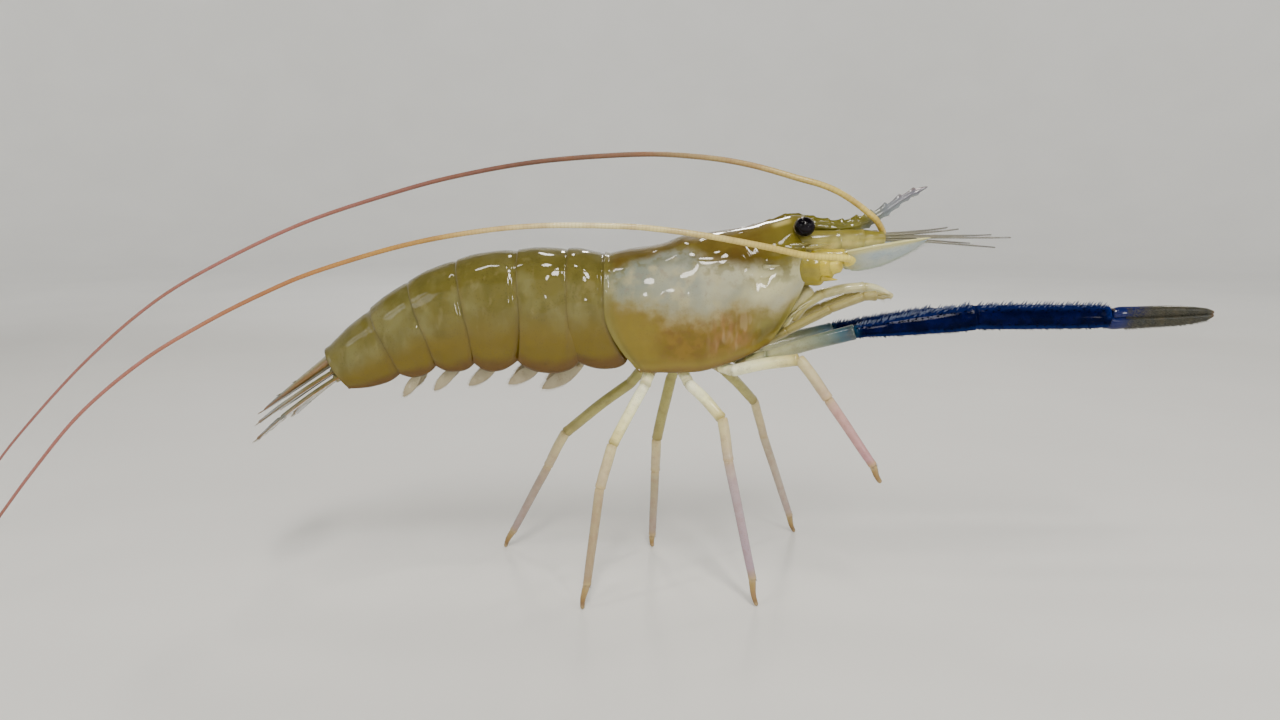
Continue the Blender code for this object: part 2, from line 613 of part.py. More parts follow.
def make_swimmerets(group, cutters):
    """One pair under each of the first five segments, joined by the bar between them."""
    for index in range(5):
        s = (SEGMENT_ENDS[index] + SEGMENT_ENDS[index + 1]) / 2 + 1.0
        centre, back, normal = axis_frame(s)
        under = table_row(ABDOMEN_TABLE, s)[1]
        size = 1.0 - 0.09 * index
        root = centre - normal * (under + 0.6)
        ends = [root + Vector((0, y, 0)) - normal * 0.5 for y in (-6.5, 6.5)]
        bar = oval_mesh("bar", [(*end, 1.3, 0.7) for end in ends], 6)
        piece = place_object(f"swimmerets_{index + 1}", bar, "swimmeret", group)
        parts = []
        for side in SIDES.values():
            hip = root + Vector((0, side * 6.0, 0)) - normal * 0.6
            knee = hip - normal * 6.5 * size + back * 2.4
            parts.append(tube_mesh("stem", [(*hip, 1.3), (*knee, 1.1)], 1))
            for lean, length in ((1.6, 14.0), (-1.6, 12.0)):
                heading = (back * 0.86 - normal * 0.5).normalized()
                stations = []
                for share, width in ((0.0, 0.5), (0.3, 1.8), (0.7, 1.9), (1.0, 0.5)):
                    place = knee + Vector((0, side * lean * min(1, share * 2), 0)) \
                        + heading * length * size * share - back * 0.6
                    stations.append((*place, 0.45, width * size))
                parts.append(oval_mesh("blade", stations, 6))
        join_to(piece, [correct_normals(part) for part in parts], cutters)


def main():
    clear_scene()
    group, cutters = collection("giant_river_prawn"), collection("joined_shapes")
    frame = bpy.data.objects.new("prawn_frame", None)
    frame.location = HOME * MM
    group.objects.link(frame)
    make_carapace(group, cutters)
    make_thorax(group)
    for tag, side in SIDES.items():
        make_eye(tag, side, group)
        make_antennule(tag, side, group, cutters)
        make_antenna_base(tag, side, group)
        make_scale(tag, side, group)
        make_mouth_limbs(tag, side, group)
        make_claw(tag, group)
    make_feeler("R", RIGHT_FEELER, group)
    make_feeler("L", LEFT_FEELER, group)
    for name, points in LEGS.items():
        make_leg(name, points, group)
    make_abdomen(group)
    make_tail_fan(group)
    make_swimmerets(group, cutters)


main()
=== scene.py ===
"""Giant river prawn: shell plates, limbs, feelers and finishes of a life-size museum model."""
import random
from math import copysign, cos, exp, pi, radians, sin, sqrt

import bmesh
import bpy
import numpy as np
from bpy.props import FloatProperty, FloatVectorProperty, IntProperty, PointerProperty
from bpy.types import Operator, Panel, PropertyGroup
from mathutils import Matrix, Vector, noise


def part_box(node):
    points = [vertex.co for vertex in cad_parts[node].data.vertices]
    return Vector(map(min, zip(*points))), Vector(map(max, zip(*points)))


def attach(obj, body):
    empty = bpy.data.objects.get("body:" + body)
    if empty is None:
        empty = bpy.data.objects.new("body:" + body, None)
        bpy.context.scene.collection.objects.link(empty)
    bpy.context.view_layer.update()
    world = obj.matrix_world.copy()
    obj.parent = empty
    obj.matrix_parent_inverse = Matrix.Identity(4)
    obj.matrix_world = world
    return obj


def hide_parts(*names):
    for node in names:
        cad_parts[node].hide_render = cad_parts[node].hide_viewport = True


bl_info = {
    "name": "Giant River Prawn",
    "version": (1, 0, 0),
    "blender": (4, 5, 0),
    "location": "View3D > Sidebar > Prawn",
    "description": "Builds the shell plates, limbs and feelers of a life-size giant river prawn",
    "category": "Object",
}

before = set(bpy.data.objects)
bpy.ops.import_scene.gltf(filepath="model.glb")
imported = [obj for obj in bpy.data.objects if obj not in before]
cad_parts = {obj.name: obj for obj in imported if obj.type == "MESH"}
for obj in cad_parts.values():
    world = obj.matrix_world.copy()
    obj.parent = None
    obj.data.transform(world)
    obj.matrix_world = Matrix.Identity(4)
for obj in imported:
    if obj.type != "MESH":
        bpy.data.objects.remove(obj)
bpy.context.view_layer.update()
MM = 0.001
TURN = 2 * pi
SIDES = {"R": -1, "L": 1}
ATTRIBUTES = ("along", "across", "joint")

# ---- body frame: millimetres, zero on the floor under the middle of the carapace ------------------
ROSTRUM_TIP = (94.6, 134.7)           # x, z
CARAPACE_LOW, CARAPACE_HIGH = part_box("carapace")
HOME = Vector((CARAPACE_HIGH[0] / MM - ROSTRUM_TIP[0], (CARAPACE_LOW[1] + CARAPACE_HIGH[1]) / 2 / MM, 0.0))

CARAPACE_REAR, BODY_AXIS = -11.6, 96.0
# x, crest, widest level, half width, lower margin
CARAPACE_TABLE = (
    (-12.0, 112.6, 96.0, 15.4, 78.0), (0.0, 114.7, 96.2, 17.0, 75.0), (8.0, 116.1, 96.4, 17.4, 74.9),
    (14.0, 118.5, 96.7, 17.6, 75.0), (20.0, 119.2, 97.0, 17.6, 75.4), (33.0, 121.3, 99.4, 16.4, 79.4),
    (43.0, 123.5, 102.6, 14.0, 84.6), (50.0, 125.3, 106.6, 11.5, 90.0), (54.0, 125.2, 108.6, 10.2, 93.0),
)
# row of the section (0 crest, 4 widest, 7 lower margin), x of the front edge: orbit, then cheek
FRONT_TABLE = ((0.0, 54.5), (0.6, 53.4), (1.1, 51.4), (1.6, 50.1), (2.1, 50.2), (2.6, 51.8), (3.1, 53.4),
               (4.0, 54.0), (5.0, 53.0), (6.0, 49.4), (6.6, 45.6), (7.0, 41.5))
# A section is round down to its widest row and runs on nearly straight to its last, the lower margin.
ROUND_ROWS, LAST_ROW, WIDEST_POWER = 4.0, 7.0, 0.87
HIND_SWEEP = 11.6                     # how far forward the hind edge sweeps, down to the margin
# distance along the abdomen, top, underside, pleuron margin, half width
ABDOMEN_TABLE = (
    (-14.0, 16.6, 15.5, 20.0, 16.2), (0.0, 16.6, 14.0, 20.0, 15.2), (10.5, 18.0, 13.0, 21.5, 15.0),
    (26.0, 18.2, 12.5, 20.4, 15.0), (44.0, 17.6, 12.0, 19.2, 14.0), (59.0, 15.5, 10.3, 16.2, 12.4),
    (73.0, 12.8, 8.4, 13.5, 10.6), (93.0, 8.4, 5.2, 8.2, 7.4),
)
ABDOMEN_PITCH = ((-20.0, 0.0), (8.0, 0.0), (26.0, 3.0), (44.0, 11.0), (59.0, 20.0), (73.0, 27.0),
                 (93.0, 31.0), (130.0, 30.0))
SEGMENT_ENDS = (0.0, 10.5, 26.0, 44.0, 59.0, 73.0, 93.0)
SEAM_LEAN = (0.0, -3.5, 4.0, 2.5, 2.5, 2.0, 0.0)

# Joints of the limbs and bends of the feelers, as the solid model has them.
ANTENNA_ENDS = {"R": ((62.4, -10.6, 109.2), (65.3, -11.6, 109.9)),      # last joint, turned outward
                "L": ((62.4, 9.6, 108.0), (65.3, 9.3, 107.4))}          # and turned inward
RIGHT_FEELER = ((65.9, -12.0, 110.1), (67.3, -13.6, 110.8), (67.2, -15.5, 111.6), (64.5, -17.0, 112.3),
                (60.0, -17.6, 112.6), (52, -18, 113.2), (39, -19, 116.0), (22, -20, 119.2), (8, -20, 121.2),
                (-6, -21, 122.4), (-31, -22, 122.6), (-52, -23, 120.6), (-74, -25, 116.4), (-99, -27, 109),
                (-115, -28, 102.5), (-133, -30, 93.5), (-153, -31, 81.6), (-172, -33, 66), (-188, -34, 48),
                (-203, -35, 29), (-216, -36, 12))
LEFT_FEELER = ((65.9, 9.2, 107.5), (67.0, 8.8, 108.0), (68.6, 6.9, 108.5), (70.4, 4.5, 109.0),
               (73, 2.5, 110.0), (76.4, 1.0, 112.0), (79.2, 0.2, 114.8), (80.2, -0.9, 118.6),
               (79.2, -2.3, 121.1), (77.0, -3.5, 124.0), (74.5, -4.0, 126.0), (70.6, -4.3, 129.0),
               (64.8, -4.3, 132.6),
               (58.9, -3.6, 135.1), (52.2, -2.4, 137.0), (36, 2, 141.6), (20, 6, 144.2), (0, 10, 145.2),
               (-32, 15, 143.2), (-59, 19, 139), (-84, 22, 133), (-122, 27, 121), (-159, 30, 104),
               (-183, 32, 89.6), (-209, 34, 68.5), (-235, 36, 43), (-250, 37, 26), (-261, 38, 12))
FEELERS = {"R": RIGHT_FEELER, "L": LEFT_FEELER}
FEELER_ROOT, FEELER_TIP = 1.2, 0.42     # half widths
WHIP_LENGTH, RING_PITCH = 345.0, 1.2    # its rings are 0.8 mm long, drawn longer so that they show
# base, end of the ischium, knee, end of the carpus, end of the propodus, tip
LEGS = {
    "leg3_R": ((24.5, -8.0, 76.6), (30.5, -13.0, 75.4), (50.2, -24.0, 81.0), (59.2, -27.0, 68.6),
               (73.6, -29.5, 47.6), (76.0, -29.5, 42.4)),
    "leg4_R": ((13.6, -8.2, 75.4), (16.0, -13.0, 71.0), (26.4, -22.0, 61.2), (28.4, -24.0, 47.6),
               (36.6, -26.5, 8.6), (38.0, -27.0, 0.0)),
    "leg5_R": ((3.6, -8.2, 75.2), (1.4, -13.0, 70.0), (-9.0, -20.5, 52.0), (-13.0, -24.0, 38.4),
               (-17.2, -28.5, 7.4), (-18.6, -29.5, 0.0)),
    "leg3_L": ((24.5, 8.0, 76.6), (30.0, 14.0, 70.2), (42.0, 25.5, 56.6), (46.4, 31.0, 42.2),
               (58.8, 41.5, 6.8), (61.0, 43.0, 0.0)),
    "leg4_L": ((13.6, 8.2, 75.4), (11.0, 12.6, 68.0), (6.0, 19.0, 43.8), (5.6, 21.5, 31.0),
               (4.6, 26.4, 4.4), (4.8, 26.8, 0.0)),
    "leg5_L": ((3.6, 8.2, 75.2), (-3.6, 12.6, 66.0), (-27.2, 18.5, 46.4), (-34.0, 21.0, 33.0),
               (-48.0, 25.6, 6.2), (-51.0, 26.4, 0.0)),
}
# hip, end of the ischium, elbow, wrist, knuckle, finger tips
CLAWS = {
    "R": ((31.5, -8.4, 76.8), (42.0, -12.4, 79.9), (68.6, -19.5, 89.2), (106.0, -21.0, 94.0),
          (147.0, -20.5, 94.1), (181.6, -19.5, 95.4)),
    "L": ((31.5, 8.4, 76.8), (42.0, 12.4, 78.9), (68.6, 19.5, 84.4), (106.0, 21.0, 88.0),
          (147.0, 20.5, 88.4), (181.6, 19.5, 89.8)),
}

# share of the joint's length, radius
WRIST_RADII = ((0.0, 1.7), (0.03, 2.0), (0.10, 2.0), (0.3, 2.6), (0.6, 3.3), (0.88, 3.8), (0.96, 3.9),
               (1.0, 3.7))
PALM_RADII = ((0.0, 3.3), (0.03, 3.6), (0.08, 3.7), (0.4, 3.75), (0.8, 3.6), (0.95, 3.5), (1.0, 3.3))
FIXED_RADII = ((0.0, 2.5), (0.08, 2.15), (0.3, 2.0), (0.7, 1.8), (0.92, 1.2), (1.0, 0.5))
MOVABLE_RADII = ((0.0, 1.5), (0.06, 1.95), (0.25, 1.95), (0.6, 1.8), (0.9, 1.15), (1.0, 0.5))
# Distance of a closed finger's middle from the biting line, as a share of its radius; length of its felt.
FINGER_GAP, FELT_LENGTH = 0.74, 0.62


def linear(hex_colour):
    """sRGB hex to linear red, green, blue."""
    channels = [int(hex_colour[i:i + 2], 16) / 255 for i in (0, 2, 4)]
    return tuple(c / 12.92 if c <= 0.04045 else ((c + 0.055) / 1.055) ** 2.4 for c in channels)


def paint(colour):
    """A colour given as an sRGB hex code or already linear, as four linear channels."""
    return (*(linear(colour) if isinstance(colour, str) else colour), 1.0)


def colour_property(name, hex_colour, description):
    """A colour that the panel's user can change."""
    return FloatVectorProperty(name=name, subtype="COLOR", size=3, min=0.0, max=1.0,
                               default=linear(hex_colour), description=description)


class PrawnSizes(PropertyGroup):
    """Sizes and counts that the panel's user can change."""
    shell_thickness: FloatProperty(name="Shell", default=0.45 * MM, unit="LENGTH",
                                   description="Thickness of the shell plates at their free edges")
    dorsal_teeth: IntProperty(name="Dorsal teeth", default=12, description="Teeth on top of the rostrum")
    ventral_teeth: IntProperty(name="Ventral teeth", default=9, description="Teeth under the rostrum")
    cornea_radius: FloatProperty(name="Cornea", default=3.2 * MM, unit="LENGTH",
                                 description="Radius of the eye's dark ball")
    spinule: FloatProperty(name="Spinule", default=0.75 * MM, unit="LENGTH",
                           description="Length of the spinules on the great claws")
    hair: FloatProperty(name="Hair", default=2.2 * MM, unit="LENGTH",
                        description="Length of the fringes on the tail fan and swimmerets")


class PrawnColours(PropertyGroup):
    """The main colours of the shell, claws and feelers."""
    back: colour_property("Back", "5E4E18", "Olive brown of the back")
    side: colour_property("Side", "AAA88D", "Pale grey of the gill covers")
    rim: colour_property("Rim", "6C5806", "Ochre of the lower shell")
    blotch: colour_property("Blotch", "7A6016", "Rosy brown blotches low on the gill covers")
    head: colour_property("Head", "6C621D", "Yellow olive of the head")
    abdomen: colour_property("Abdomen", "665E26", "Olive green of the abdomen")
    seam: colour_property("Seam", "5A4520", "Brown of the abdomen's seams and lower rims")
    claw: colour_property("Claw", "010526", "Navy blue of the great claws")
    feeler: colour_property("Feeler", "C8B25E", "Yellow orange of the feelers' roots")
    feeler_end: colour_property("Feeler end", "A4665A", "Salmon pink of the feelers' tips")


def sizes():
    """The sizes set on the scene."""
    return bpy.context.scene.prawn_sizes


def colours():
    """The colours set on the scene."""
    return bpy.context.scene.prawn_colours


# ---- curves and tables ----------------------------------------------------------------------------
def table_row(table, where):
    """Smooth values of a profile table at one distance."""
    first, last = table[0], table[-1]
    if where <= first[0]:
        return first[1:]
    if where >= last[0]:
        return last[1:]
    index = max(i for i, row in enumerate(table) if row[0] <= where)
    rows = [table[max(index - 1, 0)], table[index], table[index + 1],
            table[min(index + 2, len(table) - 1)]]
    span = rows[2][0] - rows[1][0]
    t = (where - rows[1][0]) / span
    t2, t3 = t * t, t * t * t
    values = []
    for column in range(1, len(first)):
        slope_in = (rows[2][column] - rows[0][column]) / (rows[2][0] - rows[0][0]) * span
        slope_out = (rows[3][column] - rows[1][column]) / (rows[3][0] - rows[1][0]) * span
        values.append((2 * t3 - 3 * t2 + 1) * rows[1][column] + (t3 - 2 * t2 + t) * slope_in
                      + (3 * t2 - 2 * t3) * rows[2][column] + (t3 - t2) * slope_out)
    return values


def smooth_step(low, high, value):
    """Rises smoothly from 0 at low to 1 at high."""
    t = max(0.0, min(1.0, (value - low) / (high - low)))
    return t * t * (3 - 2 * t)


def bump_at(value, centre, width):
    """A round bump of height 1 around centre."""
    return exp(-((value - centre) / width) ** 2)


def unit(vector):
    """The vector at length 1."""
    return vector / np.linalg.norm(vector)


def sided(point, side):
    """The point on the right (side -1) or left (side 1) for one given without its side."""
    return np.array((point[0], side * point[1], point[2]), float)


def curve_through(points, count):
    """Evenly spaced points of a smooth curve through the given ones, as an array."""
    points = [np.array(point, float) for point in points]
    ends = [points[0] * 2 - points[1]] + points + [points[-1] * 2 - points[-2]]
    dense = []
    for i in range(len(points) - 1):
        a, b, c, d = ends[i:i + 4]
        for t in np.linspace(0, 1, 24, endpoint=False):
            dense.append(0.5 * ((2 * b) + (c - a) * t + (2 * a - 5 * b + 4 * c - d) * t * t
                                + (3 * b - a - 3 * c + d) * t ** 3))
    dense.append(points[-1])
    return evenly(np.array(dense), count)


def evenly(path, count):
    """The same path with its points spread evenly along its length."""
    run = np.concatenate([[0], np.cumsum(np.linalg.norm(np.diff(path, axis=0), axis=1))])
    at = np.linspace(0, run[-1], count)
    return np.stack([np.interp(at, run, path[:, k]) for k in range(3)], 1)


class Path:
    """A curve in body millimetres with a steady sideways and upward direction at every point."""

    def __init__(self, points, count):
        self.points = curve_through(points, count)
        ways = np.gradient(self.points, axis=0)
        self.ways = ways / np.linalg.norm(ways, axis=1)[:, None]
        up = np.array((0.0, 0.0, 1.0))
        if abs(self.ways[0] @ up) > 0.9:
            up = np.array((1.0, 0.0, 0.0))
        ups = []
        for way in self.ways:
            up = unit(up - way * (up @ way))
            ups.append(up)
        self.ups = np.array(ups)
        self.length = float(np.linalg.norm(np.diff(self.points, axis=0), axis=1).sum())

    def at(self, u):
        """Centre, way, side and up at a share of the length."""
        place = max(0.0, min(1.0, u)) * (len(self.points) - 1)
        i = min(int(place), len(self.points) - 2)
        t = place - i
        centre = self.points[i] * (1 - t) + self.points[i + 1] * t
        way = self.ways[i] * (1 - t) + self.ways[i + 1] * t
        up = self.ups[i] * (1 - t) + self.ups[i + 1] * t
        return centre, way, unit(np.cross(up, way)), up


# ---- meshes ---------------------------------------------------------------------------------------
def sheet_mesh(along, across, place, span=(0.0, 1.0), joint=None):
    """A grid of cells whose vertices go where place(u, v) says, in body millimetres.

    Edges that meet are welded, so a grid rolled into a tube with closed ends becomes one skin.  The
    point attributes "along", "across" and "joint" tell the materials where on the piece they are:
    along runs over span, joint is 1 at a limb's joints and 0 between them.
    """
    shape = bmesh.new()
    layers = [shape.verts.layers.float.new(layer) for layer in ATTRIBUTES]
    bmesh.ops.create_grid(shape, x_segments=along, y_segments=across, size=0.5)
    for vert in shape.verts:
        u, v = vert.co.x + 0.5, vert.co.y + 0.5
        vert[layers[0]], vert[layers[1]] = span[0] + (span[1] - span[0]) * u, v
        vert[layers[2]] = joint(u) if joint else 0.0
        vert.co = [(value + shift) * MM for value, shift in zip(place(u, v), HOME)]
    bmesh.ops.remove_doubles(shape, verts=shape.verts, dist=0.000002)
    bmesh.ops.recalc_face_normals(shape, faces=shape.faces)
    return finished_mesh(shape)


def finished_mesh(shape):
    """A smooth-shaded mesh made of a finished shape."""
    mesh = bpy.data.meshes.new("mesh")
    shape.to_mesh(mesh)
    shape.free()
    mesh.shade_smooth()
    return mesh


def joined_mesh(meshes):
    """Several meshes as one; every mesh keeps its material index and attributes."""
    shape = bmesh.new()
    for mesh in meshes:
        shape.from_mesh(mesh)
    for mesh in meshes:
        bpy.data.meshes.remove(mesh)
    return finished_mesh(shape)


def turn_outward(mesh):
    """Flip a closed skin whose faces point in."""
    shape = bmesh.new()
    shape.from_mesh(mesh)
    if shape.calc_volume(signed=True) < 0:
        bmesh.ops.reverse_faces(shape, faces=shape.faces)
    shape.to_mesh(mesh)
    shape.free()
    mesh.shade_smooth()
    return mesh


def change_across(mesh, rule):
    """Put a mesh's across values through a rule, so that they say what its material reads."""
    for item in mesh.attributes["across"].data:
        item.value = rule(item.value)
    return mesh


def from_crest(v):
    """Share of the way down either side for a place round an open section: 0 at its crest."""
    return abs(v * 2 - 1)


def over_width(v):
    """Share of the width, 0 to 1, for a place round a closed section."""
    return (cos(TURN * v) + 1) / 2


def tube(path, profile, along=48, around=20, span=(0.0, 1.0), joint=None):
    """A closed skin round a path: profile(u, turn) gives half width and half height in mm."""
    def place(u, v):
        centre, _, side, up = path.at(u)
        turn = TURN * v
        wide, high = profile(u, turn)
        return centre + side * (wide * cos(turn)) + up * (high * sin(turn))
    return turn_outward(sheet_mesh(along, around, place, span, joint))


def closing(u, start=0.03, end=0.03):
    """Rounds a tube's radius off to nothing at both ends."""
    value = 1.0
    if u < start:
        value *= sqrt(max(0.0, 1 - (1 - u / start) ** 2))
    if u > 1 - end:
        value *= sqrt(max(0.0, 1 - ((u - 1 + end) / end) ** 2))
    return value


def podomere(start, end, radii, flat=1.0, sag=0.0, along=36, around=18, flare=0.03, neck=0.06,
             span=(0.0, 1.0), via=None, rim=0.8):
    """One joint of a limb: narrow at its neck, flared at its far end, where the next one sits."""
    start, end = np.array(start, float), np.array(end, float)
    middle = np.array(via, float) if via is not None else (start + end) / 2 + np.array((0.0, 0.0, sag))
    path = Path([start, middle, end], 40)
    length = path.length
    near, far = radii

    def profile(u, turn):
        radius = near + (far - near) * u
        radius *= 1 - neck * exp(-(u * length / 1.5) ** 2) + flare * bump_at(u, 1.0, 1.6 / length)
        radius *= 1 - 0.03 * bump_at(u, 1.0 - 2.6 / length, 0.9 / length)
        radius *= closing(u, rim / length, rim / length)
        ridge = 1 + 0.035 * cos(4 * turn + 0.8) + 0.02 * sin(3 * turn + 9 * u)
        return radius * flat * ridge, radius / flat * ridge

    def joint(u):
        return max(exp(-(u * length / 1.8) ** 2), exp(-((1 - u) * length / 1.8) ** 2))
    return tube(path, profile, along, around, span, joint)


def hinge_pair(centre, way, radius, span, side=(0.0, 1.0, 0.0)):
    """The two knobs that a limb's joint turns on."""
    way, side = unit(way), np.array(side)
    side = unit(side - way * (side @ way))

    def profile(u, turn):
        width = radius * 0.24 * closing(u, 0.5, 0.5)
        return width, width
    knobs = []
    for sign in (-1, 1):
        place = centre + side * sign * radius * 0.86
        path = Path([place - way * radius * 0.34, place, place + way * radius * 0.34], 12)
        knobs.append(tube(path, profile, 8, 8, (span, span), lambda u: 0.8))
    return knobs


def spine(base, tip, radius, along=10, around=8, span=(0.0, 1.0), bend=(0.0, 0.0, 0.0), taper=0.75):
    """A pointed thorn from base to tip."""
    base, tip = np.array(base, float), np.array(tip, float)
    path = Path([base, (base + tip) / 2 + np.array(bend, float), tip], 20)

    def profile(u, turn):
        width = radius * (1 - u) ** taper * closing(u, 0.1, 0.01)
        return width, width
    return tube(path, profile, along, around, span)


class Leaf:
    """A thin plate on a curved midline; its edges run at inner(u) and outer(u) millimetres."""

    def __init__(self, midline, wide, edges, thickness, relief=None, droop=0.0):
        self.path = Path(midline, 60)
        self.wide = np.array(wide, float)
        self.edges, self.thickness, self.relief, self.droop = edges, thickness, relief, droop

    def frame(self, u):
        """Centre, way, direction of the width and normal at a share of the length."""
        centre, way, _, _ = self.path.at(u)
        wide = unit(self.wide - way * (self.wide @ way))
        return centre, way, wide, np.cross(way, wide)

    def point(self, u, across, lift=0.0):
        """across runs from -1 at the inner edge to 1 at the outer edge."""
        centre, _, wide, normal = self.frame(u)
        inner, outer = table_row(self.edges, u)
        place = (outer + inner) / 2 + (outer - inner) / 2 * across
        sink = -self.droop * (across * (outer - inner) / 2) ** 2 / max(1.0, (outer - inner) / 2)
        return centre + wide * place + normal * (lift + sink)

    def mesh(self, along, around, span=(0.0, 1.0)):
        """The plate as a closed skin, rounded at its edges; its relief shows less underneath."""
        def place(u, v):
            turn = TURN * v
            across = cos(turn)
            inner, outer = table_row(self.edges, u)
            thick = self.thickness * min(1.0, (outer - inner) / 2.0)
            lift = thick * sin(turn) * (0.6 + 0.4 * abs(sin(turn)))
            if self.relief:
                share = 1.0 if sin(turn) > 0 else -0.3
                lift += self.relief(u, across) * share * abs(sin(turn)) ** 0.5
            return self.point(u, across, lift)
        return change_across(turn_outward(sheet_mesh(along, around, place, span)), over_width)

    def fringe(self, count, start, end, length, seed, edges=(-1, 1), radius=0.05, lean=0.55):
        """Hairs along the edges between two shares of the length, swept back."""
        chance = random.Random(seed)
        hairs, bends = [], []
        for edge in edges:
            for step in range(count):
                u = start + (end - start) * (step + chance.random() * 0.8) / count
                _, way, wide, normal = self.frame(u)
                near, far = self.point(max(0.0, u - 0.01), edge), self.point(min(1.0, u + 0.01), edge)
                rim = (far - near) / max(1e-9, np.linalg.norm(far - near))
                out = np.cross(normal, rim)
                out = out * (1 if out @ wide * edge > 0 else -1)
                if abs(out @ wide) < 0.2:
                    out = way
                hairs.append((self.point(u, edge) - out * 0.15,
                              out * (1 - lean) + way * lean + normal * chance.uniform(-0.12, 0.12),
                              length * chance.uniform(0.7, 1.1) * smooth_step(start - 0.08, start + 0.1, u)))
                bends.append(way * length * 0.15)
        return hairs_mesh(hairs, radius, bends, levels=3)


def faced(mesh, index):
    """Give all faces of a mesh one of the piece's materials, by its number."""
    for polygon in mesh.polygons:
        polygon.material_index = index
    return mesh


# ---- hairs and spinules ---------------------------------------------------------------------------
def hair_template(levels):
    """A unit hair along +Z, open at its foot: its points and the corners of its faces."""
    shape = bmesh.new()
    bmesh.ops.create_cone(shape, segments=3, radius1=1.0, radius2=0.25, depth=1.0)
    bmesh.ops.translate(shape, verts=shape.verts, vec=(0.0, 0.0, 0.5))
    for level in range(1, levels):
        bmesh.ops.bisect_plane(shape, geom=[*shape.verts, *shape.edges, *shape.faces],
                               plane_co=(0.0, 0.0, level / levels), plane_no=(0.0, 0.0, 1.0))
    tip = [vert for vert in shape.verts if vert.co.z > 0.999]
    bmesh.ops.pointmerge(shape, verts=tip, merge_co=(0.0, 0.0, 1.0))
    shape.verts.index_update()
    points = np.array([vert.co[:] for vert in shape.verts])
    faces = [tuple(vert.index for vert in face.verts) for face in shape.faces]
    shape.free()
    return points, faces


def hairs_mesh(hairs, radius, bends=(0.0, 0.0, 0.0), levels=2, skin=1):
    """Many tapered hairs as one mesh that wears the piece's second material, or the one given.

    hairs are rows of a root in body millimetres, a way and a length; bends pull the tips aside.
    """
    rows, faces = hair_template(levels)
    roots, ways, lengths = (np.array(column, float) for column in zip(*hairs))
    bends = np.broadcast_to(np.array(bends, float), roots.shape)
    ways = ways / np.linalg.norm(ways, axis=1)[:, None]
    helper = np.where(np.abs(ways[:, 2:3]) > 0.9, (1.0, 0.0, 0.0), (0.0, 0.0, 1.0))
    side = np.cross(ways, helper)
    side = side / np.linalg.norm(side, axis=1)[:, None]
    other = np.cross(ways, side)
    height = rows[:, 2][None, :, None]
    points = roots[:, None, :] + ways[:, None, :] * height * lengths[:, None, None]
    points = points + bends[:, None, :] * height ** 2
    points = points + side[:, None, :] * (rows[:, 0][None, :, None] * radius)
    points = points + other[:, None, :] * (rows[:, 1][None, :, None] * radius)
    points = (points.reshape(-1, 3) + np.array(HOME)) * MM
    mesh = bpy.data.meshes.new("hairs")
    all_faces = [tuple(i + k * len(rows) for i in face) for k in range(len(roots)) for face in faces]
    mesh.from_pydata(points.tolist(), [], all_faces)
    mesh.shade_smooth()
    tips = np.tile(rows[:, 2], len(roots))
    for attribute, values in zip(ATTRIBUTES, (np.ones(len(points)), tips, tips * 0.0)):
        layer = mesh.attributes.new(attribute, "FLOAT", "POINT")
        layer.data.foreach_set("value", values.astype(np.float32))
    mesh.update()
    return faced(mesh, skin)


def surface_samples(mesh, count, seed, keep):
    """Random points, evenly spread by area, where keep(point, normal) allows them.

    Gives the points in body millimetres, their normals and the random generator.
    """
    mesh.calc_loop_triangles()
    corners = np.empty(len(mesh.vertices) * 3)
    mesh.vertices.foreach_get("co", corners)
    corners = corners.reshape(-1, 3) / MM - np.array(HOME)
    triangles = np.empty(len(mesh.loop_triangles) * 3, np.int32)
    mesh.loop_triangles.foreach_get("vertices", triangles)
    a, b, c = (corners[triangles.reshape(-1, 3)[:, k]] for k in range(3))
    normals = np.cross(b - a, c - a)
    areas = np.linalg.norm(normals, axis=1)
    generator = np.random.default_rng(seed)
    picks = generator.choice(len(areas), count * 3, p=areas / areas.sum())
    r, s = generator.random((2, len(picks)))
    flip = r + s > 1
    r, s = np.where(flip, 1 - r, r), np.where(flip, 1 - s, s)
    points = a[picks] + (b - a)[picks] * r[:, None] + (c - a)[picks] * s[:, None]
    normals = normals[picks] / areas[picks][:, None]
    kept = np.array([keep(point, normal) for point, normal in zip(points, normals)])
    return points[kept][:count], normals[kept][:count], generator


def spinules_on(mesh, count, seed, way, keep, radius=0.16, lean=0.45):
    """Short forward-leaning points on a shell."""
    points, normals, generator = surface_samples(mesh, count, seed, keep)
    ways = normals * (1 - lean) + way * lean
    lengths = sizes().spinule / MM * (0.6 + 0.8 * generator.random(len(points)))
    return hairs_mesh(zip(points - normals * radius * 0.6, ways, lengths), radius)


# ---- pieces ---------------------------------------------------------------------------------------
def add_piece(name, parts, materials, slot, *nodes, thickness=0.0):
    """Link a mesh, or a list of meshes as one, as a piece of the prawn that stands for the given nodes."""
    mesh = joined_mesh(parts) if isinstance(parts, list) else parts
    mesh.name = name
    piece = bpy.data.objects.new(name, mesh)
    bpy.context.scene.collection.objects.link(piece)
    for material in materials:
        piece.data.materials.append(material)
    if thickness:
        wall = piece.modifiers.new("shell wall", "SOLIDIFY")
        wall.thickness = thickness
        wall.offset = -1.0
        wall.use_quality_normals = True
    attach(piece, "root")
    if nodes:
        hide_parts(*nodes)


